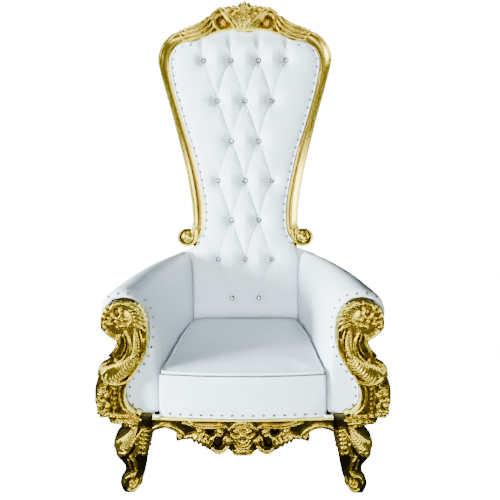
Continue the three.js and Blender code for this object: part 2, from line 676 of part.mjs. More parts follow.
function frontLeg() {
  const body = loft(FRONT_LEG.map((section, i) => ringAt(section, LEG_SIDES, i < 3 ? 0.4 : 0.8)));
  const ornament = [
    // the ear that carries the arm's outer edge
    rod([[392, 286, 402], [424, 280, 406], [452, 268, 398]], 11, 9, { steps: 5, flat: 0.8 }),
    // the fluted shell on the knee
    shell([372, 238, 402], 10, 76, -1.25, -0.2, 4, 14),
    // the C scroll on the inner side, with its berries
    rod(spiral([338, 196, 398], 28, 12, 1.9, 0.8, 4, 7), 8, 6, { steps: 7 }),
    lobe([354, 160, 400], 13, 12, 10),
    // the leaf down the shin and the whorl on the toe
    rod([[384, 146, 398], [380, 112, 390], [388, 78, 388], [396, 54, 392]], 9, 7, { flat: 0.8 }),
    rod(spiral([398, 32, 392], 18, 8, 1.6, 0.8, 3, 6), 6, 5, { steps: 6 }),
  ];
  const reach = 2 * DEPTH;
  const slab = (low, high) => boxSolid(reach, reach, high - low, 0, 0, (low + high) / 2);
  const kept = union(body, ornament).intersect(slab(0, RAIL_TOP - GAP));
  const foremost = boxSolid(reach, reach, reach, 0, FRONT + reach / 2, 0);
  return kept.intersect(foremost);
}

const REAR_LEG = [
  [299.7, 284, 222, 27, 30], [240, 284, 224, 27, 30], [200, 284, 232, 26, 28], [140, 286, 262, 23, 25],
  [80, 289, 308, 21, 23], [30, 292, 362, 21, 23], [0, 293, REAR - 24, 21, 24],
];

function rearLeg() {
  return loft(REAR_LEG.map((section) => ringAt(section, 8, 0.55)));
}

// ---------- the throne ----------
const throne = new THREE.Group();
const back = new THREE.Group();
back.position.set(0, BACK_Y, BACK_Z);
back.rotation.x = -RAKE;
throne.add(back);

function place(parent, name, shape, material) {
  const mesh = new THREE.Mesh(geometryOf(shape), material);
  mesh.name = name;
  parent.add(mesh);
}

function placePair(parent, name, shape, material) {
  place(parent, `${name}_left`, shape, material);
  place(parent, `${name}_right`, mirrored(shape), material);
}

place(back, "crest_rail", crest(), gilt);
placePair(back, "back_stile", stile(), gilt);
const sockets = buttons.map((b) => crystalButton(b.x, b.y, buttonOut(b), 0.6));
place(back, "back_pad", sockets.reduce((pad, socket) => pad.subtract(socket), backPad()), leather);
place(back, "outer_back", outerBack(), leather);
BUTTON_ROWS.forEach((row, r) => row.forEach((column, c) => {
  const spot = new THREE.Vector2(column * BUTTON_PITCH, FIRST_ROW + r * BUTTON_ROW);
  place(back, `button_row${r + 1}_${c + 1}`, crystalButton(spot.x, spot.y, buttonOut(spot)), crystal);
}));

placePair(throne, "arm_pad", armPad(), leather);
placePair(throne, "arm_scroll", armScroll(), gilt);
place(throne, "seat_pad", seatPad(), leather);
place(throne, "seat_deck", seatDeck(), darkCloth);
place(throne, "apron", apron(), gilt);
placePair(throne, "side_rail", sideRail(), gilt);
place(throne, "back_rail", backRail(), gilt);
placePair(throne, "front_leg", frontLeg(), gilt);
placePair(throne, "rear_leg", rearLeg(), gilt);

export default throne;
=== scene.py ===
# %% [markdown]
# # A gilt throne with buttoned white upholstery
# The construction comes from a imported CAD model, which is loaded as a fixed frame. Every piece below is
# made in the same metres and the same place, so none has to be moved to meet the next. The frame is plain,
# and this notebook gives it what a gilder and an upholsterer would: carving, gold leaf, stuffing, pleats
# and nails.

# %% Load the frame
import math

import bpy
import numpy as np
from mathutils import Matrix, Vector
from mathutils.bvhtree import BVHTree


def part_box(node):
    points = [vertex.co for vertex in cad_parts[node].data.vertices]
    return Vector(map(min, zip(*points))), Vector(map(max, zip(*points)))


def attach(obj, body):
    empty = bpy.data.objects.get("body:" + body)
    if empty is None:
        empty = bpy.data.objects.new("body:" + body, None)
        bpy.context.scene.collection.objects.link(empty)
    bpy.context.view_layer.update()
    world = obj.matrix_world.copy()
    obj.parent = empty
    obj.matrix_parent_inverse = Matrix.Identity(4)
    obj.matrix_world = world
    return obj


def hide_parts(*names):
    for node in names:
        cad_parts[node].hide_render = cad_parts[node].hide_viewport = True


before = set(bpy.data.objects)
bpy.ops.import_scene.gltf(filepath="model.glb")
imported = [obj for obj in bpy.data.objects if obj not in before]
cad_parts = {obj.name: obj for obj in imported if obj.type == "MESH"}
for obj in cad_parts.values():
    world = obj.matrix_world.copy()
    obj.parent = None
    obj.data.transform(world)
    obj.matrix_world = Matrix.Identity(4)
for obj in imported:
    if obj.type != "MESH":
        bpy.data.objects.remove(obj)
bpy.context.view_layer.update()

# %% [markdown]
# The camera stands in front of the throne, 1.2 m above the floor, and looks slightly down. It is made first,
# so that every later cell can be judged in the view that matters.

# %% The camera
CAMERA_PLACE = (0.045, -2.111, 1.211)
CAMERA_LENS = 40.2
LOOKS_DOWN, LOOKS_LEFT, LEANS = 11.2, 0.61, -0.23  # degrees


def placed(name, data):
    """A new object in the scene."""
    made = bpy.data.objects.new(name, data)
    bpy.context.scene.collection.objects.link(made)
    return made


def make_camera():
    data = bpy.data.cameras.new("camera")
    data.lens = CAMERA_LENS
    camera = placed("camera", data)
    turn = Matrix.Rotation(math.radians(LOOKS_LEFT), 3, "Z") @ Matrix.Rotation(
        math.radians(90 - LOOKS_DOWN), 3, "X") @ Matrix.Rotation(math.radians(LEANS), 3, "Z")
    camera.matrix_world = Matrix.Translation(CAMERA_PLACE) @ turn.to_4x4()
    bpy.context.scene.camera = camera


make_camera()

# %% [markdown]
# ## Sizes
# The maker's sizes are in millimetres, because that is how a carver thinks. The rake and the foot of the
# back fix how it leans. The top of the rail and the back of the boards are read from the frame, and so are
# the deck and the back rail further down. The other sizes are set where they are used.

# %% Sizes
MM = 0.001
RAKE = math.radians(7.4)
BACK_FOOT = (0, 200, 460)  # where the face of the back meets the seat


def node_box(name):
    low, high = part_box(name)
    return np.array(low) / MM, np.array(high) / MM


SEAT_HIGH = node_box("seat_pad")[1]
RAIL_TOP = node_box("apron")[1][2]
BOARD_BACK = -node_box("arm_scroll_left")[1][1]  # how far forward the arms' carved boards start
print("rail top, seat top and board back", [round(v, 1) for v in (RAIL_TOP, SEAT_HIGH[2], BOARD_BACK)])


def upright(across, out, up):
    """From a face's own millimetres to the world's metres: across, out to the viewer, and up."""
    return np.stack([across, -out, up], -1) * MM


def tilted(across, out, up):
    """The same for the back, which leans by the rake about its foot."""
    depth = BACK_FOOT[1] - out * math.cos(RAKE) + up * math.sin(RAKE)
    height = BACK_FOOT[2] + out * math.sin(RAKE) + up * math.cos(RAKE)
    return np.stack([across, depth, height], -1) * MM


# %% [markdown]
# ## Drawing lines
# A carver draws a scroll with a few points and a fair curve through them. The same is done here: a
# Catmull-Rom spline through given points, cut into even steps.

# %% Fair curves and meshes
def curve(points, count=60):
    """Even steps along a smooth line through a few points."""
    p = np.array(points, float)
    p = np.vstack([2 * p[0] - p[1], p, 2 * p[-1] - p[-2]])
    t = np.linspace(0, 1, 13)[:-1, None]
    spans = [
        0.5 * (2 * b + (c - a) * t + (2 * a - 5 * b + 4 * c - d) * t**2 + (3 * b - a - 3 * c + d) * t**3)
        for a, b, c, d in zip(p, p[1:], p[2:], p[3:])
    ]
    fine = np.vstack(spans + [p[-2:-1]])
    run = np.r_[0, np.cumsum(np.linalg.norm(np.diff(fine, axis=0), axis=1))]
    even = np.linspace(0, run[-1], count)
    return np.column_stack([np.interp(even, run, fine[:, k]) for k in range(fine.shape[1])])


def spiral(centre, outer, inner, start, turns, count=50):
    """Points on a flat spiral, with its start in degrees."""
    t = np.linspace(0, 1, count)
    radius = outer + (inner - outer) * t
    angle = math.radians(start) + 2 * math.pi * turns * t
    return np.column_stack([centre[0] + radius * np.cos(angle), centre[1] + radius * np.sin(angle)])


def piece(name, points, faces, material, sharp=50, **attributes):
    """A mesh object from points in metres, shaded smooth up to an angle, with values on its points."""
    mesh = bpy.data.meshes.new(name)
    mesh.from_pydata(np.asarray(points).tolist(), [], [list(map(int, f)) for f in faces])
    mesh.materials.append(material)
    for key, values in attributes.items():
        layer = mesh.attributes.new(key, "FLOAT", "POINT")
        layer.data.foreach_set("value", np.asarray(values, np.float32))
    mesh.shade_smooth()
    mesh.set_sharp_from_angle(angle=math.radians(sharp))
    mesh.update()
    return placed(name, mesh)


def skin(rings):
    """A closed skin over rings of equally many points, given as an array (rings, points, 3)."""
    count, around = rings.shape[:2]
    faces = []
    for k in range(count - 1):
        for i in range(around):
            a, b = k * around + i, k * around + (i + 1) % around
            faces.append((a, b, b + around, a + around))
    faces.append(tuple(range(around))[::-1])
    faces.append(tuple(range((count - 1) * around, count * around)))
    return rings.reshape(-1, 3), faces


def settle(made, slot, *nodes):
    """Points the faces out, rides the piece on the one body and lets it stand for CAD nodes."""
    scratch = bpy.context
    scratch.view_layer.objects.active = made
    made.select_set(True)
    bpy.ops.object.mode_set(mode="EDIT")
    bpy.ops.mesh.select_all(action="SELECT")
    bpy.ops.mesh.normals_make_consistent(inside=False)
    bpy.ops.object.mode_set(mode="OBJECT")
    made.select_set(False)
    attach(made, "root")
    if nodes:
        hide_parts(*nodes)
    print(made.name, len(made.data.polygons), "faces")
    return made


# %% [markdown]
# ## Gold leaf
# The frame is carved wood under gold leaf. Leaf is laid over a red-brown clay, burnished bright where a
# stone can reach and left dull and dark in the hollows. The hollows are also darkened with painted shade, so
# each carved mesh carries a value called `hollow` on its points, from 0 on the ridges to 1
# deep in the ground: partly the glaze of the hollows, partly painted shade. One node group turns it into a
# mask broken up by noise, so that nails and plain rails can use the same effect.

# %% Node helpers
def new_surface(name):
    """A new material, its tree and its surface node."""
    material = bpy.data.materials.new(name)
    material.use_nodes = True
    tree = material.node_tree
    return material, tree, tree.nodes["Principled BSDF"]


def node(tree, kind, links=None, **values):
    """A node with its inputs set: a number or colour is a value, and a socket is a link."""
    made = tree.nodes.new(kind)
    for key, value in values.items():
        setattr(made, key, value)
    for key, value in (links or {}).items():
        target = made.inputs[key]
        if isinstance(value, bpy.types.NodeSocket):
            tree.links.new(value, target)
        else:
            target.default_value = value
    return made


def group(name, inputs, outputs):
    """An empty shader group with named sockets, and its two ends."""
    tree = bpy.data.node_groups.new(name, "ShaderNodeTree")
    for label, kind, value in inputs:
        socket = tree.interface.new_socket(label, in_out="INPUT", socket_type=kind)
        socket.default_value = value
    for label, kind in outputs:
        tree.interface.new_socket(label, in_out="OUTPUT", socket_type=kind)
    return tree, tree.nodes.new("NodeGroupInput"), tree.nodes.new("NodeGroupOutput")


def ramp(tree, factor, stops):
    """A colour ramp from (place, colour) stops."""
    made = node(tree, "ShaderNodeValToRGB", {"Fac": factor})
    elements = made.color_ramp.elements
    for place, colour in stops[2:]:
        elements.new(place).color = (*colour, 1)
    for element, (place, colour) in zip(elements, sorted(stops)):
        element.position = place
        element.color = (*colour, 1)
    return made.outputs["Color"]


# %% The wear of leaf and its painted shade, shared by all gilded things
def make_leaf_wear_and_shade():
    tree, start, end = group(
        "leaf_wear_and_shade",
        [("Grain", "NodeSocketFloat", 60.0), ("Depth", "NodeSocketFloat", 1.0)],
        [("Dark", "NodeSocketFloat"), ("Unevenness", "NodeSocketFloat")],
    )
    place = node(tree, "ShaderNodeTexCoord").outputs["Object"]
    # painted shade: the hollow value, partly glaze, darkens the leaf wherever the carving lies low
    hollow = node(tree, "ShaderNodeAttribute", attribute_name="hollow").outputs["Fac"]
    noise = node(tree, "ShaderNodeTexNoise",
                 {"Vector": place, "Scale": start.outputs["Grain"], "Detail": 4.0})
    broken = node(tree, "ShaderNodeMath", {0: noise.outputs["Fac"], 1: 0.35}, operation="MULTIPLY_ADD")
    tree.links.new(hollow, broken.inputs[2])
    deep = node(tree, "ShaderNodeMath", {0: broken.outputs[0], 1: start.outputs["Depth"]},
                operation="MULTIPLY")
    dark = node(tree, "ShaderNodeMapRange", {"Value": deep.outputs[0], "From Min": 0.42, "From Max": 1.0})
    tree.links.new(dark.outputs["Result"], end.inputs["Dark"])
    tree.links.new(noise.outputs["Fac"], end.inputs["Unevenness"])
    return tree


LEAF_WEAR_AND_SHADE = make_leaf_wear_and_shade()


# %% The gilding
def make_gilding(name, bright, dull, roughness, depth, grain, bump):
    """Metal leaf that goes from bright on the ridges to a dark brown in the hollows: partly glazing, partly
    painted shade.
    """
    material, tree, surface = new_surface(name)
    wear_and_shade = node(tree, "ShaderNodeGroup", node_tree=LEAF_WEAR_AND_SHADE)
    wear_and_shade.inputs["Depth"].default_value = depth
    wear_and_shade.inputs["Grain"].default_value = grain
    # painted shade: the colour runs through dull gold to near black as the mask rises
    colour = ramp(tree, wear_and_shade.outputs["Dark"], [(0.0, bright), (1.0, (0.035, 0.029, 0.012)), (0.4, dull)])
    tree.links.new(colour, surface.inputs["Base Color"])
    rough = node(tree, "ShaderNodeMapRange", {
        "Value": wear_and_shade.outputs["Dark"], "To Min": roughness, "To Max": 0.5})
    tree.links.new(rough.outputs["Result"], surface.inputs["Roughness"])
    surface.inputs["Metallic"].default_value = 1.0
    relief = node(tree, "ShaderNodeBump", {
        "Height": wear_and_shade.outputs["Unevenness"], "Strength": bump, "Distance": 0.002})
    tree.links.new(relief.outputs["Normal"], surface.inputs["Normal"])
    return material


GILT = make_gilding("gilt_wood", (1.0, 0.815, 0.12), (0.55, 0.39, 0.08), 0.21, 1.0, 70.0, 0.12)
NAIL_BRASS = make_gilding("nail_brass", (0.36, 0.33, 0.26), (0.2, 0.17, 0.1), 0.22, 0.4, 300.0, 0.05)

# %% [markdown]
# ## Carving
# A carved board is a relief: it is cut from one side, so every point of it has a single depth. That makes a
# height map the natural way to build it. Each stroke of the gouge is a fair line with a width, a lift and a
# cross cut, and the highest stroke wins, just as one leaf lies over another. The outline is kept as a
# distance to the edge, so strokes that run over the board's edge push the outline out as real leaves do.

# %% Cross cuts of the gouge
# Each takes the share across (-1 to 1), the millimetres along and the share along, and gives the height
# from 0 to 1, with how far the stroke reaches to its side at that point.
def rib(across, along, share):
    return np.sqrt(np.clip(1 - across**2, 0, 1)), 1.0


def pearls(across, along, share, pitch=10):
    beside = 2 * ((along / pitch) % 1) - 1
    return np.sqrt(np.clip(1 - across**2 - beside**2, 0, 1)), 1.0


def scaled(across, along, share, pitch=9, bend=-0.6):
    step = (along / pitch + bend * across**2) % 1
    return np.sqrt(np.clip(1 - across**2, 0, 1)) * (0.35 + 0.65 * step**0.7), 1.0


def arched(across, along, share, pitch=11, bend=1.6, shift=0.0):
    ridges = np.abs(np.sin(np.pi * (along / pitch + bend * (across - shift) ** 2))) ** 0.6
    return np.clip(1 - across**4, 0, 1) ** 0.5 * (0.5 + 0.5 * ridges), 1.0


def leafy(across, along, share, lobes=4):
    side = np.abs(across)
    notch = np.abs(np.sin(np.pi * (lobes * share - 0.4 * side)))
    reach = (0.8 + 0.2 * notch**0.6) * np.sin(np.pi * np.clip(share * 0.92 + 0.04, 0, 1)) ** 0.35
    body = np.sqrt(np.clip(1 - (across / np.maximum(reach, 0.05)) ** 2, 0, 1))
    vein = 0.4 * np.exp(-((across / 0.16) ** 2))
    return body * (0.62 + 0.38 * notch**0.7) * (1 - vein), reach


# %% The relief itself
def spread(value, share):
    """A number, or a list of numbers evenly placed along a stroke."""
    values = np.atleast_1d(np.asarray(value, float))
    return np.interp(share, np.linspace(0, 1, len(values)), values)


def inside_of(outline, x, z):
    """Distance to a closed outline, positive inside it."""
    best, odd = np.full(x.shape, np.inf), np.zeros(x.shape, bool)
    for (ax, az), (bx, bz) in zip(outline, np.roll(outline, -1, 0)):
        dx, dz = bx - ax, bz - az
        share = np.clip(((x - ax) * dx + (z - az) * dz) / max(dx * dx + dz * dz, 1e-9), 0, 1)
        best = np.minimum(best, np.hypot(x - ax - share * dx, z - az - share * dz))
        crossed = (az > z) != (bz > z)
        odd ^= crossed & (x < ax + (z - az) * dx / (dz if abs(dz) > 1e-9 else 1e-9))
    return np.where(odd, best, -best)


def blurred(values, times):
    """Evens a grid out with its neighbours a number of times."""
    for _ in range(times):
        p = np.pad(values, 1, mode="edge")
        values = (4 * values + p[:-2, 1:-1] + p[2:, 1:-1] + p[1:-1, :-2] + p[1:-1, 2:]) / 8
    return values


PETALS = 5
WELL_SLOPE = 3.0  # millimetres over which the side of a well slopes down


class Relief:
    """A carved face as two grids: how far each point stands out, and how far it is inside the outline."""

    def __init__(self, low, high, step, ground, mirrored=False):
        x = np.arange(low[0], high[0] + step, step)
        z = np.arange(low[1], high[1] + step, step)
        self.across, self.up = np.meshgrid(x, z)
        self.x = np.abs(self.across) if mirrored else self.across
        self.step = step
        self.ground = ground(self.x, self.up) if callable(ground) else np.full(self.x.shape, float(ground))
        self.out = self.ground.copy()
        self.edge = np.full(self.x.shape, -60.0)
        # painted shade: the next two darken the bare ground, partly as glaze, and the gaps between strokes
        self.ground_glaze_and_shade = 0.0  # how dark the bare ground is
        self.deep = 1.0  # how dark the gaps between strokes are

    def board(self, outline):
        self.edge = np.maximum(self.edge, inside_of(np.array(outline, float), self.x, self.up))

    def pierce(self, outline):
        self.edge = np.minimum(self.edge, -inside_of(np.array(outline, float), self.x, self.up))

    def lay(self, near, height, inside, widen=True):
        height = self.ground[near] + height
        self.out[near] = np.where(inside > 0, np.maximum(self.out[near], height), self.out[near])
        if widen:
            self.edge[near] = np.maximum(self.edge[near], inside)

    def stroke(self, points, width, lift, rise, cut=rib, widen=True, count=48, **pattern):
        """Carves along a fair line. Width is the half width; lift is over the ground."""
        path = curve(points, count) if len(points) < count else np.asarray(points, float)
        reach = np.max(width) + 1.5 * self.step
        near = (
            (self.x > path[:, 0].min() - reach) & (self.x < path[:, 0].max() + reach)
            & (self.up > path[:, 1].min() - reach) & (self.up < path[:, 1].max() + reach)
        )
        a, ab = path[:-1], np.diff(path, axis=0)
        length = np.hypot(*ab.T)
        dx = self.x[near][:, None] - a[None, :, 0]
        dz = self.up[near][:, None] - a[None, :, 1]
        on = np.clip((dx * ab[:, 0] + dz * ab[:, 1]) / length**2, 0, 1)
        far = np.hypot(dx - on * ab[:, 0], dz - on * ab[:, 1])
        best = far.argmin(1)
        row = np.arange(len(best))
        along = np.r_[0, np.cumsum(length)][best] + on[row, best] * length[best]
        turn = np.sign(ab[best, 0] * dz[row, best] - ab[best, 1] * dx[row, best])
        share = along / length.sum()
        half = spread(width, share)
        across = turn * far[row, best] / half
        height, wide = cut(across, along, share, **pattern)
        inside = half * (wide - np.abs(across))
        self.lay(near, spread(lift, share) + spread(rise, share) * height, inside, widen)

    def fan(self, centre, inner, outer, start, end, ribs, lift, rise):
        """A shell or palmette: ribs that spread from a centre between two angles in degrees."""
        dx, dz = self.x - centre[0], self.up - centre[1]
        radius = np.hypot(dx, dz)
        middle, half = math.radians(start + end) / 2, abs(math.radians(end - start)) / 2
        angle = (np.arctan2(dz, dx) - middle + np.pi) % (2 * np.pi) - np.pi
        share = (angle / half + 1) / 2
        ridge = np.abs(np.sin(np.pi * ribs * np.clip(share, 0, 1)))
        tip = outer * (0.84 + 0.16 * ridge**0.8)
        grown = np.clip((radius - inner) / np.maximum(tip - inner, 1e-6), 0, 1)
        inside = np.minimum(np.minimum(radius - inner, tip - radius), radius * (half - np.abs(angle)))
        near = (radius < outer + 2 * self.step) & (radius > inner - 2 * self.step)
        bow = np.sin(np.pi * (0.12 + 0.76 * grown)) * (0.6 + 0.4 * grown)
        height = lift + rise * bow * (0.3 + 0.7 * ridge**0.6)
        self.lay(near, height[near], inside[near])

    def flower(self, centre, radius, lift, rise):
        """A flower with cupped petals and a round heart."""
        dx, dz = self.x - centre[0], self.up - centre[1]
        far = np.hypot(dx, dz)
        ridge = np.abs(np.cos(PETALS * (np.arctan2(dz, dx) - math.pi / 2) / 2))
        tip = radius * (0.66 + 0.34 * ridge**0.5)
        near = far < radius + 2 * self.step
        cup = np.sin(np.pi * np.clip(far / tip, 0, 1) ** 0.8) * (0.45 + 0.55 * ridge**0.5)
        heart = 1.15 * np.sqrt(np.clip(1 - (far / (0.3 * radius)) ** 2, 0, 1))
        self.lay(near, (lift + rise * np.maximum(cup, heart))[near], (tip - far)[near])

    def dome(self, centre, radius, lift, rise, tall=1.0):
        far = np.hypot(self.x - centre[0], (self.up - centre[1]) / tall)
        near = far < radius + 2 * self.step
        height = lift + rise * np.sqrt(np.clip(1 - (far / radius) ** 2, 0, 1))
        self.lay(near, height[near], (radius - far)[near])

    def sink(self, centre, wide, tall, floor):
        """Cuts a well down to a floor, which is measured from the ground."""
        far = np.hypot((self.x - centre[0]) / wide, (self.up - centre[1]) / tall)
        depth = np.clip((1 - far) * min(wide, tall) / WELL_SLOPE, 0, 1)
        self.out = self.out * (1 - depth) + (self.ground + floor) * depth


# %% [markdown]
# The two grids become a solid. Grid points just outside the outline are pulled onto it, which gives a clean
# edge instead of steps, the rim is rounded over a few millimetres, and a wall runs back to the rear face.
# The `hollow` value compares each point with the average height around it: what lies low, the
# rounded rim and the rear face get painted shade, and the bare ground gets glaze and painted shade.

# %% From relief to solid
def carve(name, relief, rear, place, wall=8.0, round_over=3.5, flip=False):
    """Turns a relief into a closed mesh. rear is a depth, or a grid of depths, for the back face."""
    edge, step = relief.edge, relief.step
    within = edge > 0
    kept = within[:-1, :-1] | within[:-1, 1:] | within[1:, :-1] | within[1:, 1:]
    slope_z, slope_x = np.gradient(edge, step)
    steep = np.maximum(slope_x**2 + slope_z**2, 0.2)
    pull = np.where(within, 0, np.clip(-edge / steep, 0, 1.6 * step))
    x, z = relief.across + pull * slope_x, relief.up + pull * slope_z
    even = blurred(relief.out, 2)
    rim = np.sqrt(np.clip(edge / round_over, 0, 1))
    low = np.minimum(relief.ground, even) - wall
    out = low + (even - low) * rim
    # painted shade: darker where the relief lies below its surroundings, on the rounded rim, in the gaps and
    # on the bare ground
    hollow = np.clip((blurred(even, 40) - even) / 4.5 + 0.25, 0, 1) * 0.75 + 0.3 * (1 - rim)
    hollow = np.maximum(relief.deep * hollow, relief.ground_glaze_and_shade * np.clip(1 - (even - relief.ground) / 5, 0, 1))
    rear = rear if isinstance(rear, np.ndarray) else np.full(out.shape, float(rear))
    rear = np.minimum(rear, out - 0.5)

    used = np.zeros(edge.shape, bool)
    for rows, columns in ((slice(None, -1), slice(None, -1)), (slice(None, -1), slice(1, None)),
                          (slice(1, None), slice(None, -1)), (slice(1, None), slice(1, None))):
        used[rows, columns] |= kept
    number = np.full(edge.shape, -1)
    number[used] = np.arange(used.sum())
    total = int(used.sum())
    a, b = number[:-1, :-1][kept], number[:-1, 1:][kept]
    c, d = number[1:, 1:][kept], number[1:, :-1][kept]
    front = np.column_stack([a, b, c, d])
    faces = [front, front[:, ::-1] + total]
    padded = np.pad(kept, 1)
    for beside, first, second in (
        (padded[:-2, 1:-1], a, b), (padded[1:-1, 2:], b, c), (padded[2:, 1:-1], c, d),
        (padded[1:-1, :-2], d, a)):
        open_side = ~beside[kept]
        p, q = first[open_side], second[open_side]
        faces.append(np.column_stack([q, p, p + total, q + total]))
    faces = np.vstack(faces)
    sign = -1 if flip else 1
    points = np.vstack([place(sign * x[used], depth[used], z[used]) for depth in (out, rear)])
    if flip:
        faces = faces[:, ::-1]
    # the rear face gets a little painted shade as well
    values = np.concatenate([hollow[used], np.full(total, 0.25)])
    return piece(name, points, faces, GILT, sharp=70, hollow=values)


# %% [markdown]
# ## The crest
# The crest rail is pierced-looking rococo work: a palmette over a medallion in the middle, a rose in a dark
# well to each side, and long ridged scrolls that sweep down to a clasp on the shoulder. It is drawn once for
# one half, and the relief mirrors it.

# %% Carve the crest rail
FRAME_REAR = -30.0
CREST_LOW = [(0, 1205), (84, 1200), (147, 1180), (192, 1160), (222, 1153), (244, 1156)]
CREST_HIGH = [
    (0, 1312), (44, 1302), (70, 1288), (100, 1298), (118, 1288), (144, 1262), (186, 1236), (226, 1222),
    (260, 1210),
]
ROSE = (90, 1239)


def carve_crest():
    r = Relief((-276, 1138), (276, 1336), 1.4, 5.0, mirrored=True)
    r.deep = 0.8
    low, high = curve(CREST_LOW, 50), curve(CREST_HIGH, 50)
    r.board(np.vstack([[(-40, 1205)], low, high[::-1], [(-40, 1312)]]))
    # the bead along the upholstery
    r.stroke(low + (0, 6), 6, 4, 11)
    # the well behind the rose, and the small gap below the C scroll
    r.sink(ROSE, 30, 29, -17)
    r.sink((143, 1206), 11, 8, -8)
    # three long ridges that sweep down to the clasp
    r.stroke([(126, 1226), (146, 1199), (174, 1182), (206, 1170), (236, 1165)],
             (6, 8.5, 9.5, 8), (7, 9, 8), 11)
    r.stroke([(136, 1240), (152, 1218), (178, 1199), (208, 1186), (246, 1179)],
             (6, 8.5, 9.5, 8), (9, 11, 9), 11)
    r.stroke([(148, 1250), (164, 1231), (188, 1214), (216, 1202), (250, 1195)],
             (6, 8.5, 9.5, 8), (9, 11, 9), 11)
    r.stroke([(154, 1258), (172, 1243), (196, 1228), (224, 1217), (256, 1208)], (7, 8, 8, 6), (5, 7, 5), 11)
    # the long bright band from the top knob down to the clasp
    r.stroke([(104, 1292), (124, 1276), (142, 1258), (158, 1244)], (8, 9, 7), (9, 10, 8), 12)
    # soft bumps along the top edge
    for x, z, size in ((130, 1271, 12), (152, 1254, 12), (176, 1239, 11),
                       (200, 1227, 11), (226, 1218, 10), (250, 1208, 9)):
        r.dome((x, z), size, 2, 9)
    # the flared clasp on the shoulder
    r.fan((196, 1178), 24, 72, -28, 38, 4, 8, 13)
    r.stroke([(214, 1159), (236, 1158), (254, 1168), (266, 1186), (268, 1206)], (5, 6, 7, 6), (8, 11, 9), 9)
    # the C scroll that closes the well on its outer side
    r.stroke([(98, 1268), (114, 1262), (125, 1246), (125, 1226), (112, 1208), (98, 1203)],
             (6, 8, 8, 6), (8, 12, 8), 12)
    r.stroke([(122, 1266), (134, 1254), (138, 1238)], (5, 6, 3), (6, 7), 10, leafy, lobes=2)
    # the middle swells forward, so that its leaves lie on a dome
    r.dome((0, 1252), 70, -2, 9, tall=0.9)
    # the knob at the top of the strap, and two broad straps down to the bead
    r.dome((101, 1290), 12, 9, 12)
    r.dome((84, 1294), 9, 7, 10)
    r.stroke([(92, 1276), (72, 1254), (52, 1230), (38, 1210)], (9, 10, 10, 8), (9, 12, 8), 10)
    r.stroke([(72, 1274), (54, 1252), (36, 1232), (22, 1214)], (8, 9, 9, 7), (8, 10, 8), 9)
    # curled leaves between the straps and the palmette
    r.dome((66, 1286), 12, 9, 12)
    r.stroke(spiral((66, 1286), 15, 13, 120, -0.6), (4, 5, 4), 8, 8)
    r.dome((46, 1296), 12, 9, 12)
    r.stroke([(56, 1266), (44, 1272), (34, 1286)], (7, 9, 6), 9, 10, leafy, lobes=2)
    # gadroons that spread under the medallion
    for k in range(4):
        angle = math.radians(-90 + 26 * k)
        root = (14 * math.cos(angle), 1252 + 14 * math.sin(angle))
        end = (40 * math.cos(angle), 1250 + 36 * math.sin(angle))
        r.stroke([root, ((root[0] + end[0]) / 2 + 1, (root[1] + end[1]) / 2), end],
                 (5, 8, 8), (8, 11, 7), 10, widen=False)
    # the medallion, its ring of petals, the flower over it and the palmette
    for k, (size, far) in enumerate(((13, 40), (12, 39), (12, 36), (10, 34))):
        angle = math.radians(90 - 26 * k)
        tip = (far * math.cos(angle), 1276 + far * math.sin(angle))
        r.stroke([(0.3 * tip[0], 1276 + 0.3 * (tip[1] - 1276)),
                  (0.7 * tip[0], 1276 + 0.72 * (tip[1] - 1276)), tip],
                 (6, 0.8 * size, 0.7 * size), (8, 12, 8), 11)
    r.flower((0, 1280), 19, 14, 12)
    r.stroke(spiral((0, 1252), 18, 18, 0, 1.0), 7, 11, 9, pearls, count=60, pitch=14.2)
    r.dome((0, 1252), 11, 12, 12)
    # the rose in its well
    r.flower(ROSE, 21, -13, 16)
    return carve("crest_rail_carving", r, FRAME_REAR, tilted)


settle(carve_crest(), "gilt_wood", "crest_rail")

# %% [markdown]
# ## The stiles
# Below the shoulder the frame is a plain moulding, and its beauty is the long line of it. A carver runs such
# a moulding with a scratch stock, so here a profile is swept between the two edge lines of the stile. It ends
# in a volute, which is turned in as a relief.

# %% Sweep the stiles and turn the volutes
STILE_INNER = [
    (244.4, 1156), (280, 1141), (303, 1108), (313, 1063), (296, 963), (277, 894), (252, 807), (222, 712),
    (200, 623), (184, 545), (175, 485), (173, 430), (180, 368), (205, 326),
]
STILE_OUTER = [
    (260.4, 1206), (306, 1188), (343, 1150), (361, 1100), (357, 1050), (331, 948), (303, 848), (276, 738),
    (252, 640), (236, 555), (227, 490), (223, 440), (223, 405), (236, 362),
]
MOULDING = [
    (0, FRAME_REAR), (0, 8), (0.015, 12), (0.04, 15), (0.08, 16.5), (0.12, 15.5), (0.145, 12.5),
    (0.16, 10), (0.185, 9.2), (0.24, 7.9), (0.32, 7.3), (0.4, 7.7), (0.5, 9.4), (0.6, 12.1),
    (0.7, 15.4), (0.77, 17.8), (0.82, 18.9), (0.84, 18.3), (0.86, 19.4), (0.9, 20.6), (0.94, 20.4),
    (0.975, 18.2), (0.995, 14), (1, 8), (1, FRAME_REAR + 4), (0.97, FRAME_REAR),
]
VOLUTE = (247, 345)


def sweep_stile(sign):
    steps = 170
    inner, outer = curve(STILE_INNER, steps), curve(STILE_OUTER, steps)
    share = np.array([p[0] for p in MOULDING])[None, :, None]
    out = np.tile([p[1] for p in MOULDING], (steps, 1))
    flat = inner[:, None] * (1 - share) + outer[:, None] * share
    rings = tilted(sign * flat[..., 0], out, flat[..., 1])
    points, faces = skin(rings)
    low = np.array([p[1] for p in MOULDING])
    # painted shade: the sides and back of the moulding, and its low grooves, are darkened
    hollow = np.tile(np.where(low < 0, 0.6, np.clip((10 - low) / 3, 0, 0.5)), steps)
    return piece("stile", points, faces, GILT, sharp=40, hollow=hollow)


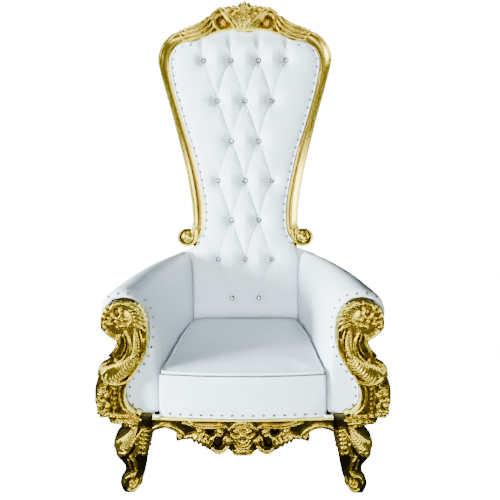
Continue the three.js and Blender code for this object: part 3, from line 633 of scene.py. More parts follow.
def turn_volute(sign):
    r = Relief((196, 296), (300, 392), 1.2, 6.0)
    r.ground_glaze_and_shade = 0.3
    r.dome(VOLUTE, 36, -2, 5)
    # the band of the stile curls under a smooth boss and ends over it
    r.stroke(
        [(203, 372), (206, 344), (216, 324), (236, 312), (258, 312),
         (276, 324), (284, 344), (278, 364), (262, 376)],
        (15, 12, 8, 6.5, 6.5, 6.5, 6, 4), (8, 9, 9, 10, 10), 9, count=90)
    r.dome((246, 346), 27, 9, 13)
    r.stroke([(200, 330), (206, 312), (222, 303)], (5, 6, 3), 4, 7)
    return carve("volute", r, FRAME_REAR, tilted, flip=sign < 0)


def join(name, parts):
    bpy.ops.object.select_all(action="DESELECT")
    for part in parts:
        part.select_set(True)
    bpy.context.view_layer.objects.active = parts[0]
    bpy.ops.object.join()
    parts[0].name = name
    return parts[0]


for side, sign in (("left", 1), ("right", -1)):
    stile = join(f"back_stile_{side}_moulding", [sweep_stile(sign), turn_volute(sign)])
    settle(stile, "gilt_wood", f"back_stile_{side}")

# %% [markdown]
# ## The arm scrolls
# Each arm ends in a tall S scroll. From the head down: a swirl ringed by pearls and wrapped in gadroons, a
# neck with a string of half-moon scales beside two long ribs, a cuff of nested arches with a thick lip, and a
# block with a curved mould, a drop of pearls and a tight bunch of foliage.

# %% Carve the arm scrolls
ARM_INNER = [
    (384, 714), (350, 706), (323, 680), (307, 640), (303, 590), (308, 542), (323, 503), (344, 470),
    (366, 440), (381, 414), (387, 383), (384, 352), (372, 328), (350, 310),
]
ARM_OUTER = [
    (418, 706), (446, 680), (459, 645), (460, 612), (444, 588), (424, 576), (412, 562), (414, 542),
    (426, 522), (442, 505), (460, 488), (470, 466), (480, 440), (489, 412), (493, 385), (492, 355),
    (488, 326), (478, 306),
]
ARM_HEAD = (383, 638)


def carve_arm(name, sign):
    r = Relief((292, 294), (502, 728), 1.4, BOARD_BACK + 17)
    r.ground_glaze_and_shade = 0.78
    inner = curve(ARM_INNER, 120)
    r.board(np.vstack([inner, [(350, RAIL_TOP), (476, RAIL_TOP)], curve(ARM_OUTER, 120)[::-1]]))
    head = ARM_HEAD
    # the smooth beads that follow the upholstery
    r.stroke(inner[16:100] + (4.5, 0), 4.5, 5, 9)
    r.stroke(inner[44:80] + (13, 0), 3, 4, 7)
    # the head: a domed boss with a smooth rim on its outer side
    r.dome(head, 72, -4, 14)
    r.stroke(spiral(head, 68, 66, 60, -0.36), (5, 8, 6), (4, 5), 9)
    # slanted gadroons up the inner side and over the top
    for k in range(9):
        angle = math.radians(198 - 14.5 * k)
        middle = (head[0] + 57 * math.cos(angle), head[1] + 59 * math.sin(angle))
        lean = math.radians(34 - 7 * k)
        ends = [(middle[0] + d * math.cos(lean),
                 middle[1] + d * math.sin(lean) - 0.012 * d * d) for d in (-18, 0, 18)]
        r.stroke(ends, (6, 8, 7), (5, 9, 6), 10)
    # the hook that curls into the head
    r.stroke([(388, 700), (405, 698), (416, 686), (418, 668), (408, 654),
              (394, 653), (387, 664), (391, 675)],
             (6, 8, 8, 7, 5), (10, 14, 14, 12), 11, count=70)
    r.dome((389, 678), 8, 12, 10)
    # the fruit round the hook
    for x, z, size in ((428, 687, 8), (434, 670, 8), (425, 649, 9),
                       (442, 653, 8), (424, 631, 11), (441, 618, 8),
                       (400, 621, 9), (384, 624, 10), (384, 644, 9),
                       (371, 646, 7), (404, 638, 8), (438, 636, 7)):
        r.dome((x, z), size, 8, 1.25 * size)
    r.stroke(spiral((442, 618), 13, 12, 120, -0.7), 3.5, 6, 7)
    r.stroke([(356, 640), (366, 622), (372, 606)], (5, 7, 4), 6, 9)
    # the neck: a string of half moons, a pod beside it, and the long ribs
    r.stroke([(343, 606), (344, 586), (343, 563), (346, 543), (353, 519)],
             (6, 12, 13, 13, 12), (7, 10, 9), 12, scaled,
             count=60, pitch=9.2)
    r.stroke([(330, 606), (325, 580), (324, 556), (332, 532)], (3, 5, 5, 3), (5, 7, 5), 9)
    r.stroke([(376, 602), (366, 580), (364, 556), (371, 534), (387, 512), (402, 503)],
             (5, 8, 8, 7, 4), (8, 12, 8), 12)
    r.stroke([(384, 590), (378, 566), (384, 542), (398, 520)], (2, 3.5, 3.5, 2), (9, 10), 7)
    r.stroke([(397, 588), (399, 564), (410, 543), (420, 524)], (4, 6, 6, 4), (6, 8, 6), 10)
    r.stroke([(406, 588), (407, 562), (421, 534), (440, 514)], (3, 4, 4, 3), (2, 4, 3), 7)
    r.dome((413, 507), 7, 9, 8)
    r.dome((417, 493), 6, 9, 7)
    # the cuff: nested arches that swell down to a thick lip
    r.stroke([(352, 522), (366, 500), (386, 482), (412, 466), (438, 455)],
             (17, 26, 32, 34), (5, 10, 15, 13), 11, arched,
             count=70, pitch=10.6, bend=1.8, shift=-0.2, widen=False)
    r.stroke([(366, 450), (376, 436), (404, 427), (434, 430), (455, 446), (459, 468)],
             (5, 7, 8, 8, 5), (10, 15, 17, 14), 11)
    r.stroke([(436, 500), (454, 490), (468, 474), (476, 452)], (4, 7, 7, 4), 4, 10)
    # the block: a broad curved mould that ends in a small scroll
    block = np.array([(378, 424), (391, 398), (391, 366), (379, 336), (356, 314)])
    r.stroke(block, (4, 5, 5), (6, 8, 8), 8)
    r.stroke(block + (15, 2), (4, 5.5, 4), (8, 10, 8), 10)
    r.stroke(block + (8, 1), (5, 6, 5), (3, 4, 3), 3)
    r.stroke(spiral((351, 315), 13, 4, 330, -1.1), (5, 4, 3), (9, 12), 9)
    # a drop of pearls in the dark panel
    for z, size in ((404, 7), (386, 5), (368, 6), (350, 5), (334, 4)):
        r.dome((424, z), size, 2, 8)
    r.stroke([(434, 420), (438, 392), (436, 356), (428, 318)], (2.5, 3, 2.5), (1, 3), 6)
    # the bunch of leaves and fruit down the outer edge
    r.stroke([(448, 418), (458, 408), (470, 412)], (5, 8, 5), 6, 11, leafy, lobes=2)
    r.stroke([(448, 396), (462, 398), (478, 404)], (6, 9, 5), 6, 11, leafy, lobes=3)
    for k, (x, z, size) in enumerate(((450, 380, 9), (472, 386, 11),
                                      (484, 366, 9), (460, 362, 10), (449, 342, 8), (474, 346, 11),
                                      (458, 326, 9), (480, 324, 9), (468, 308, 8))):
        r.dome((x, z), size, 5, 1.2 * size)
        r.stroke(spiral((x, z), size + 2, size + 1, 75 * k, 0.4, 20), 3.5, 5, 6, count=20)
    # the leafy collar under the block
    r.stroke([(350, 308), (394, 309), (440, 313), (482, 318)], (7, 8, 8, 6),
             (7, 9, 6), 10, leafy, lobes=6, count=60)
    r.stroke([(346, 303), (396, 303), (440, 303), (476, 304)], 4, 4, 7)
    r.edge = np.minimum(r.edge, r.up - RAIL_TOP - 0.3)
    return carve(name, r, BOARD_BACK, upright, flip=sign < 0)


for side, sign in (("left", 1), ("right", -1)):
    settle(carve_arm(f"arm_scroll_{side}_carving", sign), "gilt_wood", f"arm_scroll_{side}")

# %% [markdown]
# ## The apron
# Under the seat a serpentine apron hangs from a moulded rail. Its middle is a cartouche with a shell and a
# boss, C scrolls cup a pair of dark openings to each side, and plain arches run out to the legs.

# %% Carve the apron
APRON_LOW = [
    (0, 168), (30, 169), (42, 180), (56, 188), (72, 176), (92, 174), (112, 182), (136, 199), (158, 216),
    (186, 221), (206, 220), (216, 232), (230, 246), (256, 256), (284, 252), (305, 242),
]


def carve_apron():
    ground = lambda x, z: BOARD_BACK + 16 + 12 * (1 - (x / 305) ** 2)
    r = Relief((-306, 160), (306, RAIL_TOP + 2), 1.4, ground, mirrored=True)
    r.ground_glaze_and_shade = 0.88
    low = curve(APRON_LOW, 90)
    r.board(np.vstack([[(-40, 168)], low, [(306, RAIL_TOP), (-40, RAIL_TOP)]]))
    # the moulded rail under the nails
    r.stroke([(-20, 297), (150, 297), (306, 297)], 4, 5, 7)
    # openings between the scrolls
    r.sink((108, 257), 17, 12, -15)
    r.sink((87, 214), 15, 19, -15)
    # double beads that arch over the cartouche and over its neighbours
    for drop, half in ((0, 4.5), (9, 3)):
        r.stroke([(-8, 291 - drop), (0, 291 - drop), (26, 286 - drop), (46 - 0.4 * drop, 267 - 0.4 * drop)],
                 (half, half, half - 1), (7, 9, 7), 9)
        r.stroke([(46 + 0.5 * drop, 262), (54, 276 - 0.6 * drop),
                  (72, 284 - drop), (104, 281 - drop), (140, 282 - drop),
                  (166, 289 - drop), (180, 292 - drop)], (half - 1, half, half, half - 1), (5, 7, 5), 9)
    # the cartouche: a shell over a boss, with a hanging drop of nested mouldings
    r.dome((0, 240), 44, -4, 10, tall=0.95)
    r.fan((0, 250), 5, 35, 12, 168, 7, 6, 14)
    r.stroke([(8, 246), (22, 240), (38, 250)], (7, 9, 6), (8, 12, 8), 11)
    r.dome((0, 247), 12, 11, 13)
    for k, (wide, top) in enumerate(((15, 230), (25, 228), (36, 228))):
        deep = top - 10 - 9.5 * k
        r.stroke([(-2, deep), (0, deep), (0.6 * wide, deep + 4), (wide, top)],
                 (4, 5, 4), (10 - 2 * k, 8 - 2 * k), 9)
    r.dome((0, 228), 6, 11, 8)
    # the small shell at the foot of the cartouche
    r.fan((0, 204), 4, 35, 200, 340, 7, 5, 13)
    r.stroke([(-4, 172), (0, 172), (24, 173), (36, 184)], (4, 4.5, 3), 4, 8)
    # the knobs beside it, and the C scrolls that cup the openings
    r.dome((46, 226), 12, 8, 13)
    r.stroke([(54, 240), (64, 228), (66, 212)], (5, 6, 3), 6, 9)
    r.dome((74, 257), 12, 6, 12)
    r.stroke(spiral((74, 257), 17, 15, 110, -0.55), (3.5, 4.5, 3), 5, 8)
    r.dome((144, 258), 11, 5, 11)
    r.stroke(spiral((144, 258), 16, 14, 200, -0.5), (3, 4, 3), 5, 7)
    for inset in (0, 9):
        r.stroke([(46 + inset, 206), (57 + 0.6 * inset, 190 + 0.6 * inset),
                  (76, 181 + inset), (94, 184 + inset),
                  (104 - 0.4 * inset, 196 + 0.3 * inset)], (3.5, 5, 6 - 0.25 * inset, 4), (5, 8, 5), 10)
    # the leaf over the lower opening, and gadroons that hang to the lower edge
    r.stroke([(92, 244), (101, 234), (104, 216)], (6, 9, 5), (7, 10, 7), 12)
    for x, z, tall in ((113, 209, 20), (128, 216, 18), (143, 224, 15), (157, 231, 12)):
        r.stroke([(x - 4, z + tall), (x, z + 4), (x + 5, z - 8)], (7, 9, 7), (6, 9, 6), 11)
    r.stroke([(112, 238), (128, 248), (150, 240), (170, 234)], (5, 7, 6, 4), (6, 8, 6), 10, leafy, lobes=4)
    # the bright step and the broad arch that runs out to the leg
    r.stroke([(160, 244), (176, 238), (194, 232)], (9, 10, 7), (4, 6, 5), 9)
    r.stroke([(162, 276), (170, 281), (180, 279)], (6, 8, 5), 8, 9, leafy, lobes=2)
    r.stroke([(184, 284), (192, 288), (200, 288)], (4, 5, 3), 7, 8)
    arch = np.array([(199, 232), (201, 248), (214, 262), (234, 274), (256, 278), (280, 274), (306, 262)])
    r.stroke(arch, (6, 8, 8, 8), (5, 8, 8), 10)
    r.stroke(arch + (5, -12), (3, 4, 4, 4), (3, 4, 4), 7)
    r.stroke(spiral((214, 231), 11, 4, 150, -1.1), (5, 4, 3), (6, 9), 9)
    r.edge = np.minimum(r.edge, np.minimum(RAIL_TOP - r.up, 304.5 - r.x))
    return carve("apron_carving", r, BOARD_BACK, upright)


settle(carve_apron(), "gilt_wood", "apron")

# %% [markdown]
# ## The front legs
# A cabriole leg is round, so its relief has a domed ground: the middle stands forward and the sides fall
# away. The knee carries a shell of nested arches, a C scroll hugs the inner side, and the foot curls up.

# %% Carve the front legs
LEG_OUTER = [
    (462, 300), (456, 290), (446, 278), (424, 268), (411, 259), (422, 244), (434, 226), (442, 200),
    (438, 186), (441, 162), (437, 140), (424, 122), (411, 102), (412, 82), (424, 62), (430, 38),
    (425, 16), (418, 0),
]
LEG_INNER = [
    (306, 300), (305, 244), (312, 206), (320, 180), (326, 152), (336, 100), (344, 70), (356, 40),
    (368, 18), (378, 0),
]
LEG_FORWARD = [(0, 378), (30, 388), (60, 378), (95, 376), (140, 386), (190, 404), (240, 404), (300, 404)]
LEG_REAR = 326.0


def carve_leg(name, sign):
    inner, outer = curve(LEG_INNER, 140), curve(LEG_OUTER, 140)
    line = np.array(LEG_FORWARD, float)

    def dome(x, z, power):
        left = np.interp(z, inner[::-1, 1], inner[::-1, 0])
        right = np.interp(z, outer[::-1, 1], outer[::-1, 0])
        share = np.clip((2 * x - left - right) / (right - left), -1, 1)
        return (1 - np.abs(share) ** power) ** (1 / power)

    def ground(x, z):
        forward = np.interp(z, line[:, 0], line[:, 1])
        block = np.clip((z - 262) / 30, 0, 1)
        return LEG_REAR + 34 + (forward - 12 - LEG_REAR - 34) * dome(x, z, 2.2 + 3 * block)

    r = Relief((298, 0.0), (470, 300), 1.4, ground)
    r.ground_glaze_and_shade = 0.88
    r.board(np.vstack([inner, outer[::-1]]))
    # the leafy ear under the arm, and the small drops below it
    r.stroke([(340, 292), (372, 296), (410, 292), (446, 284)], (5, 8, 9, 6),
             (4, 7, 4), 10, leafy, lobes=5, count=60)
    r.stroke([(352, 282), (384, 286), (412, 280)], (4, 7, 4), (4, 6, 4), 9)
    for x, z, size in ((392, 276, 8), (376, 272, 7), (372, 259, 6)):
        r.dome((x, z), size, 3, 1.1 * size)
    # the shell on the knee, nested arches that swell to a thick lip
    r.stroke([(362, 262), (374, 240), (390, 220), (408, 204), (422, 196)],
             (10, 18, 24, 25), (3, 6, 11, 10), 11, arched,
             count=60, pitch=9.6, bend=1.8, shift=-0.2, widen=False)
    r.stroke([(380, 192), (392, 178), (410, 171), (426, 180), (431, 198), (424, 216)],
             (4, 7, 8, 8, 5), (8, 12, 12, 8), 10)
    # the bright ridge to its left, and the leaf that fills the corner below
    r.stroke([(334, 262), (346, 246), (358, 226), (370, 206), (382, 190)], (4, 6, 6, 4), (6, 9, 7), 11)
    r.stroke([(358, 208), (357, 190), (366, 172), (378, 164)], (4, 9, 9, 5), (4, 6, 4), 10)
    # the slanted gadroons down the inner side
    for k in range(5):
        x, z = 325 + 2 * k, 252 - 16 * k
        r.stroke([(x - 12, z - 6), (x, z), (x + 13, z + 8)], (6, 8.5, 6), (3, 6, 3), 10)
    r.stroke([(346, 236), (350, 212), (344, 190)], (4, 6, 4), (3, 4), 8)
    # berries and small leaves under the knee
    for x, z, size in ((336, 162, 9), (350, 168, 8), (383, 152, 8), (381, 139, 6), (366, 158, 7)):
        r.dome((x, z), size, 4, 1.2 * size)
    r.stroke([(404, 162), (414, 158), (424, 150)], (5, 7, 4), 5, 9)
    # one long rib down the shin
    r.stroke([(376, 134), (371, 116), (368, 98)], (5, 6, 4), (3, 4), 9)
    r.stroke([(394, 132), (392, 112), (390, 94)], (3, 3, 2), (0, 1), 5)
    # the leaf over the toe and its whorl
    r.stroke([(370, 84), (380, 76), (392, 68)], (7, 10, 7), (4, 6, 4), 9, leafy, lobes=2)
    r.stroke([(392, 74), (404, 64), (412, 48)], (5, 7, 4), (4, 5), 10)
    r.stroke([(354, 62), (358, 38), (376, 20), (398, 24)], (4, 6, 7, 4), (3, 5, 3), 9)
    r.stroke(spiral((382, 48), 14, 4, 150, 1.15, 60), (5, 5, 3), (4, 8), 9, count=60)
    r.edge = np.minimum(r.edge, np.minimum(RAIL_TOP - 0.3 - r.up, r.up + 0.01))
    behind = LEG_REAR + 30 - 30 * dome(r.across, r.up, 2.4)
    return carve(name, r, behind, upright, wall=4, round_over=5, flip=sign < 0)


for side, sign in (("left", 1), ("right", -1)):
    settle(carve_leg(f"front_leg_{side}_carving", sign), "gilt_wood", f"front_leg_{side}")

# %% [markdown]
# ## Stuffing
# The seat and the arms are foam under leather. Each starts as a lofted solid that nearly fills its space.
# A voxel remesh evens its faces, and Blender's cloth then blows it up with a low pressure for twenty
# frames, with a cap on how far any point may go, so that it swells between its edges as stuffing does.

# %% Fill a pad
def make_leather_grain():
    """Fine pebbles with soft creases between them, for any hide."""
    tree, start, end = group(
        "leather_grain",
        [("Pebble", "NodeSocketFloat", 700.0), ("Crease", "NodeSocketFloat", 28.0)],
        [("Height", "NodeSocketFloat"), ("Tone", "NodeSocketFloat")],
    )
    place = node(tree, "ShaderNodeTexCoord").outputs["Object"]
    cells = node(tree, "ShaderNodeTexVoronoi", {"Vector": place, "Scale": start.outputs["Pebble"]},
                 feature="SMOOTH_F1")
    soft = node(tree, "ShaderNodeTexNoise",
                {"Vector": place, "Scale": start.outputs["Crease"], "Detail": 5.0})
    total = node(tree, "ShaderNodeMath", {0: cells.outputs["Distance"], 1: 0.35, 2: soft.outputs["Fac"]},
                 operation="MULTIPLY_ADD")
    tree.links.new(total.outputs[0], end.inputs["Height"])
    tree.links.new(soft.outputs["Fac"], end.inputs["Tone"])
    return tree


def make_leather():
    material, tree, surface = new_surface("white_leather")
    grain = node(tree, "ShaderNodeGroup", node_tree=make_leather_grain())
    colour = ramp(tree, grain.outputs["Tone"], [(0.3, (0.70, 0.725, 0.755)), (0.7, (0.76, 0.785, 0.815))])
    tree.links.new(colour, surface.inputs["Base Color"])
    rough = node(tree, "ShaderNodeMapRange", {"Value": grain.outputs["Tone"], "To Min": 0.36, "To Max": 0.5})
    tree.links.new(rough.outputs["Result"], surface.inputs["Roughness"])
    relief = node(tree, "ShaderNodeBump",
                  {"Height": grain.outputs["Height"], "Strength": 0.12, "Distance": 0.0015})
    tree.links.new(relief.outputs["Normal"], surface.inputs["Normal"])
    surface.inputs["Specular IOR Level"].default_value = 0.42
    return material


LEATHER = make_leather()


def make_cloth(name, light, dark, threads):
    """A plain weave: two waves at right angles, and a little fading."""
    material, tree, surface = new_surface(name)
    place = node(tree, "ShaderNodeTexCoord").outputs["Object"]
    warp = node(tree, "ShaderNodeTexWave", {"Vector": place, "Scale": threads}, bands_direction="X")
    weft = node(tree, "ShaderNodeTexWave", {"Vector": place, "Scale": threads}, bands_direction="Y")
    weave = node(tree, "ShaderNodeMath", {0: warp.outputs["Fac"], 1: weft.outputs["Fac"]},
                 operation="MAXIMUM")
    fading = node(tree, "ShaderNodeTexNoise", {"Vector": place, "Scale": 9.0, "Detail": 3.0})
    tone = node(tree, "ShaderNodeMath", {0: weave.outputs[0], 1: fading.outputs["Fac"]},
                operation="MULTIPLY")
    tree.links.new(ramp(tree, tone.outputs[0], [(0.1, dark), (0.7, light)]), surface.inputs["Base Color"])
    surface.inputs["Roughness"].default_value = 0.9
    relief = node(tree, "ShaderNodeBump", {"Height": weave.outputs[0], "Strength": 0.4, "Distance": 0.0006})
    tree.links.new(relief.outputs["Normal"], surface.inputs["Normal"])
    return material


DUST_CLOTH = make_cloth("dark_cloth", (0.035, 0.033, 0.03), (0.012, 0.011, 0.01), 260.0)
# painted shadow: a dark grey cloth for the cord that stands for the shadow under the seat's welt
WELT_SHADOW_CLOTH = make_cloth("welt_shadow_cord_cloth", (0.16, 0.155, 0.14), (0.07, 0.066, 0.06), 900.0)


def coordinates(mesh):
    flat = np.empty(len(mesh.vertices) * 3, np.float32)
    mesh.vertices.foreach_get("co", flat)
    return flat.reshape(-1, 3)


def modified(made, kind, **values):
    """Adds a modifier, takes its result as the new mesh and removes it."""
    modifier = made.modifiers.new(kind.lower(), kind)
    for key, value in values.items():
        setattr(modifier, key, value)
    graph = bpy.context.evaluated_depsgraph_get()
    mesh = bpy.data.meshes.new_from_object(made.evaluated_get(graph))
    made.modifiers.remove(modifier)
    made.data = mesh
    return made


VOXEL, PRESSURE, CLOTH_FRAMES = 8 * MM, 4.0, 20


def stuffed(made, cap, held):
    """Swells a closed mesh under leather. held(points) tells which points stay where they are."""
    modified(made, "REMESH", mode="VOXEL", voxel_size=VOXEL, use_smooth_shade=True)
    start = coordinates(made.data)
    fixed = made.vertex_groups.new(name="held")
    fixed.add(np.flatnonzero(held(start / MM)).tolist(), 1.0, "REPLACE")
    cloth = made.modifiers.new("cloth", "CLOTH")
    cloth.settings.use_pressure = True
    cloth.settings.uniform_pressure_force = PRESSURE
    cloth.settings.vertex_group_mass = "held"
    cloth.settings.effector_weights.gravity = 0
    cloth.collision_settings.use_collision = False
    for frame_number in range(1, CLOTH_FRAMES + 1):
        bpy.context.scene.frame_set(frame_number)
    graph = bpy.context.evaluated_depsgraph_get()
    moved = coordinates(made.evaluated_get(graph).data) - start
    made.modifiers.remove(cloth)
    far = np.linalg.norm(moved, axis=1, keepdims=True)
    limit = cap * np.tanh(far / cap) / np.maximum(far, 1e-9)
    made.data.vertices.foreach_set("co", (start + moved * limit).ravel())
    bpy.context.scene.frame_set(1)
    modified(made, "SMOOTH", factor=0.5, iterations=6)
    modified(made, "SUBSURF", levels=1, render_levels=1)
    return made


def pad(made, fill, *nodes):
    settle(made, "white_leather", *nodes)
    made.data.shade_smooth()
    return made


# %% [markdown]
# ## The buttoned back
# Deep buttoning sets buttons in a staggered grid and folds the leather between each pair of diagonal
# neighbours. Cloth could do this too, but the folds would have to be found by trying, so they are drawn. The
# face of the pad is a grid whose edges follow the frame. Its height falls to every fold in a soft valley with
# a tight crease in it, and to every button in a dimple with small puckers around it.

# %% Where the buttons and folds are
PITCH, ROW_STEP, FIRST_ROW = 57.5, 167, 82
BUTTON_ROWS = [(-1, 1), (-2, 0, 2), (-1, 1), (-2, 0, 2), (-1, 1), (-2, 0, 2), (-3, -1, 1, 3)]
BUTTONS = [(k * PITCH, FIRST_ROW + row * ROW_STEP, row) for row,
           places in enumerate(BUTTON_ROWS) for k in places]
FOLDS = [
    (a[:2], b[:2]) for a in BUTTONS for b in BUTTONS if b[2] == a[2] + 1 and abs(b[0] - a[0]) < 1.1 * PITCH
]
PAD_FOOT, PAD_REAR = -158, -22
PAD_CORNER = (280, 1141)
PAD_LAP = 1.2  # how far the pad reaches under the frame
CREASE = 2.6


def edge_of_pad(v):
    """Half the pad's width at a height."""
    side = np.vstack([curve(STILE_INNER[1:], 90), [(213, 300), (222, 268), (222, PAD_FOOT)]])[::-1]
    return np.interp(v, side[:, 1], side[:, 0])


def ease(value, low, high):
    t = np.clip((value - low) / (high - low), 0, 1)
    return t * t * (3 - 2 * t)


def to_fold(u, v, a, b, bow=0.0):
    """Distance to a fold, which bows a little to its side, and the share along it."""
    d = np.array(b, float) - a
    length = np.hypot(*d)
    share = np.clip(((u - a[0]) * d[0] + (v - a[1]) * d[1]) / length**2, 0, 1)
    bend = bow * 4 * share * (1 - share)
    x, y = a[0] + share * d[0] - bend * d[1] / length, a[1] + share * d[1] + bend * d[0] / length
    return np.hypot(u - x, v - y), share


def pad_face(u, v, half):
    """How far out the leather stands at a point of the back."""
    upward = ease(v, -20, 160) * ease(1215 - v, 0, 90)
    sideways = np.clip(1 - np.abs(u / half) ** 3, 0, 1)
    out = 3 + 33 * np.sqrt(sideways) * upward
    valley, crease = np.zeros(u.shape), np.zeros(u.shape)

    def fold(a, b, deep, wide, sharp, fade, bow=0.0):
        far, share = to_fold(u, v, a, b, bow)
        np.maximum(valley, deep * (1 - fade * share) * np.exp(-((far / wide) ** 2)), out=valley)
        tight = 0.55 + 0.45 * np.abs(2 * share - 1) if fade < 0.2 else 1 - share
        np.maximum(crease, sharp * tight * np.exp(-((far / CREASE) ** 2)), out=crease)

    for k, (a, b) in enumerate(FOLDS):
        slack = 0.75 + 0.25 * math.cos(2.4 * k)
        fold(a, b, 5.5 * slack, 15, 4.2 * slack, 0.0, bow=(7.0 if b[0] > a[0] else -5.0) * slack)
    # soft pleats from the outer rows to the frame and the seat
    for x, y, row in BUTTONS:
        if row == 6:
            fold((x, y), (x * 1.06, y + 150), 10, 17, 1.6, 0.4)
        if row == 0:
            fold((x, y), (x, y - 230), 8, 15, 2.2, 0.5)
        if abs(x) > 1.5 * PITCH and row in (1, 3, 5):
            reach = (24, 34, 96)[(row - 1) // 2]
            fold((x, y), (x + math.copysign(reach, x), y + 5), 5, 16, 4.0, 0.6, bow=math.copysign(3, x))
    dimple, pucker = np.zeros(u.shape), np.zeros(u.shape)
    for k, (x, y, _) in enumerate(BUTTONS):
        far = np.hypot(u - x, v - y)
        turn = np.arctan2(v - y, u - x)
        deep = 10 * np.exp(-((np.maximum(far - 9, 0) / 14) ** 2)) + 17.5 * np.exp(-((far / 43) ** 2))
        dimple = np.maximum(dimple, deep)
        rays = np.cos(9 * turn + 2.1 * k) + 0.6 * np.cos(5 * turn + 1.3 * k)
        pucker += 1.0 * rays * np.exp(-(((far - 27) / 13) ** 2))
    calm = sideways * np.clip(0.2 + upward, 0, 1)
    sunk = np.maximum(valley, 0.9 * dimple) + 0.25 * valley + crease + 0.35 * dimple - pucker
    return np.maximum(out - sunk * calm, 1.0)


def grid_faces(n):
    """The quads between the numbers of a grid's points."""
    return np.column_stack([n[:-1, :-1].ravel(), n[:-1, 1:].ravel(), n[1:, 1:].ravel(), n[1:, :-1].ravel()])


def build_back_pad():
    wide, tall = 232, 410
    even = np.linspace(-1, 1, wide)
    s, t = np.meshgrid(0.72 * even + 0.28 * even**3, np.linspace(0, 1, tall))
    low = curve(CREST_LOW + [PAD_CORNER], 80)
    head = np.interp(np.abs(s) * PAD_CORNER[0], low[:, 0], low[:, 1])
    side = PAD_FOOT + (PAD_CORNER[1] - PAD_FOOT) * t
    v = side + (head - PAD_CORNER[1] + 1.5) * t**5
    half = edge_of_pad(side)
    u = s * (half + PAD_LAP)
    out = pad_face(u, v, half + PAD_LAP)
    front = tilted(u, out, v)
    rear = tilted(u, np.full(u.shape, float(PAD_REAR)), v)
    total = wide * tall
    n = np.arange(total).reshape(tall, wide)
    loop = np.concatenate([n[0, :], n[1:, -1], n[-1, -2::-1], n[-2:0:-1, 0]])
    walls = [(p, p + total, q + total, q) for p, q in zip(loop, np.roll(loop, -1))]
    faces = grid_faces(n).tolist() + walls + [tuple(loop + total)]
    points = np.vstack([front.reshape(-1, 3), rear.reshape(-1, 3)])
    used = np.zeros(len(points), bool)
    used[:total] = True
    used[loop + total] = True
    number = np.cumsum(used) - 1
    faces = [tuple(number[list(f)]) for f in faces]
    return piece("back_upholstery", points[used], faces, LEATHER, sharp=60)


pad(build_back_pad(), 0.7, "back_pad")

# %% Build the outer back
def build_outer_back():
    wide, tall = 60, 120
    s, t = np.meshgrid(np.linspace(-1, 1, wide), np.linspace(0, 1, tall))
    low = curve(CREST_LOW + [PAD_CORNER], 80)
    side = PAD_FOOT + 8 + (PAD_CORNER[1] - 12 - PAD_FOOT - 8) * t
    head = np.interp(np.abs(s) * PAD_CORNER[0], low[:, 0], low[:, 1]) - PAD_CORNER[1]
    v = side + head * t**5
    half = np.interp(side, (-150, 150, 240, 270, 310, 368), (300, 316, 316, 304, 196, edge_of_pad(368) - 12))
    half = np.where(side > 368, edge_of_pad(side) - 12, half)
    u = s * half
    swell = 15.7 * np.clip(1 - s**6, 0, 1) ** 0.5 * np.clip(1 - (2 * t - 1) ** 12, 0, 1) ** 0.5
    rings = tilted(u, PAD_REAR - 0.3 - swell, v)
    inner = tilted(u, np.full(u.shape, PAD_REAR - 0.3), v)
    total = wide * tall
    n = np.arange(total).reshape(tall, wide)
    faces = grid_faces(n)
    loop = np.concatenate([n[0, :], n[1:, -1], n[-1, -2::-1], n[-2:0:-1, 0]])
    walls = np.column_stack([loop, loop + total, np.roll(loop, -1) + total, np.roll(loop, -1)])
    faces = np.vstack([faces, faces[:, ::-1] + total, walls])
    return piece("outer_back_panel", np.vstack([rings.reshape(-1, 3), inner.reshape(-1, 3)]), faces, LEATHER)


settle(build_outer_back(), "white_leather", "outer_back")

# %% [markdown]
# ## The seat
# A deep boxed seat: the front bows out, the sides narrow to the back, and a welt runs round the top edge,
# with a dark cord under it that is a painted shadow.

# %% Build the seat
SEAT_HALF = (284, 223)  # half widths at the front and the back
SEAT_FRONT, SEAT_BOW = -383, 20
SEAT_EDGE = 455  # the height of the seat's upper edge


def face_of_back(z):
    return BACK_FOOT[1] + (z - BACK_FOOT[2]) * math.tan(RAKE)


def swelling(y):
    """The inner sides of the arms, and so the sides of the seat, bow out towards the back."""
    t = np.clip((y - SEAT_FRONT) / (BACK_FOOT[1] - SEAT_FRONT), 0, 1)
    return 12 * np.sin(np.pi * t**1.5)


def seat_outline(z, inset, front_in=0.0, count=40):
    rear = face_of_back(z) - 7 - inset
    front = SEAT_FRONT + inset + front_in
    half = lambda y: np.interp(y, (SEAT_FRONT, BACK_FOOT[1]), SEAT_HALF) - inset + swelling(y)
    x = np.linspace(-half(front), half(front), 2 * count)
    bow = SEAT_BOW * (1 - (x / SEAT_HALF[0]) ** 2)
    y = np.linspace(front, rear, count)[1:]
    return np.vstack([
        np.column_stack([x, front - bow, np.full(x.shape, z)]),
        np.column_stack([half(y), y, np.full(y.shape, z)]),
        np.column_stack([-half(y), y, np.full(y.shape, z)])[::-1],
    ])


def build_seat():
    heights = [(RAIL_TOP + 0.3, -1.5, 3), (330, -1.5, 1), (375, -1, 0),
               (420, 0, 0), (442, 1.5, 2), (450, 3, 2),
               (454, 8, 0), (456, 18, 0), (459, 45, 0), (462, 80, 0),
               (465, 120, 0), (467, 160, 0), (469, 190, 0)]
    rings = np.array([seat_outline(*h) for h in heights]) * MM
    return piece("seat_cushion", *skin(rings), LEATHER)


seat = stuffed(build_seat(), 5 * MM, lambda p: (p[:, 2] < 308) | (p[:, 1] > 175))
pad(seat, 0.8, "seat_pad")

# %% [markdown]
# ## The arms
# A section of an arm rises from the seat, rolls over and comes down outside. It is drawn at the front and at
# the back, and the arm is drawn out between the two, with its front edge rolled and gathered.

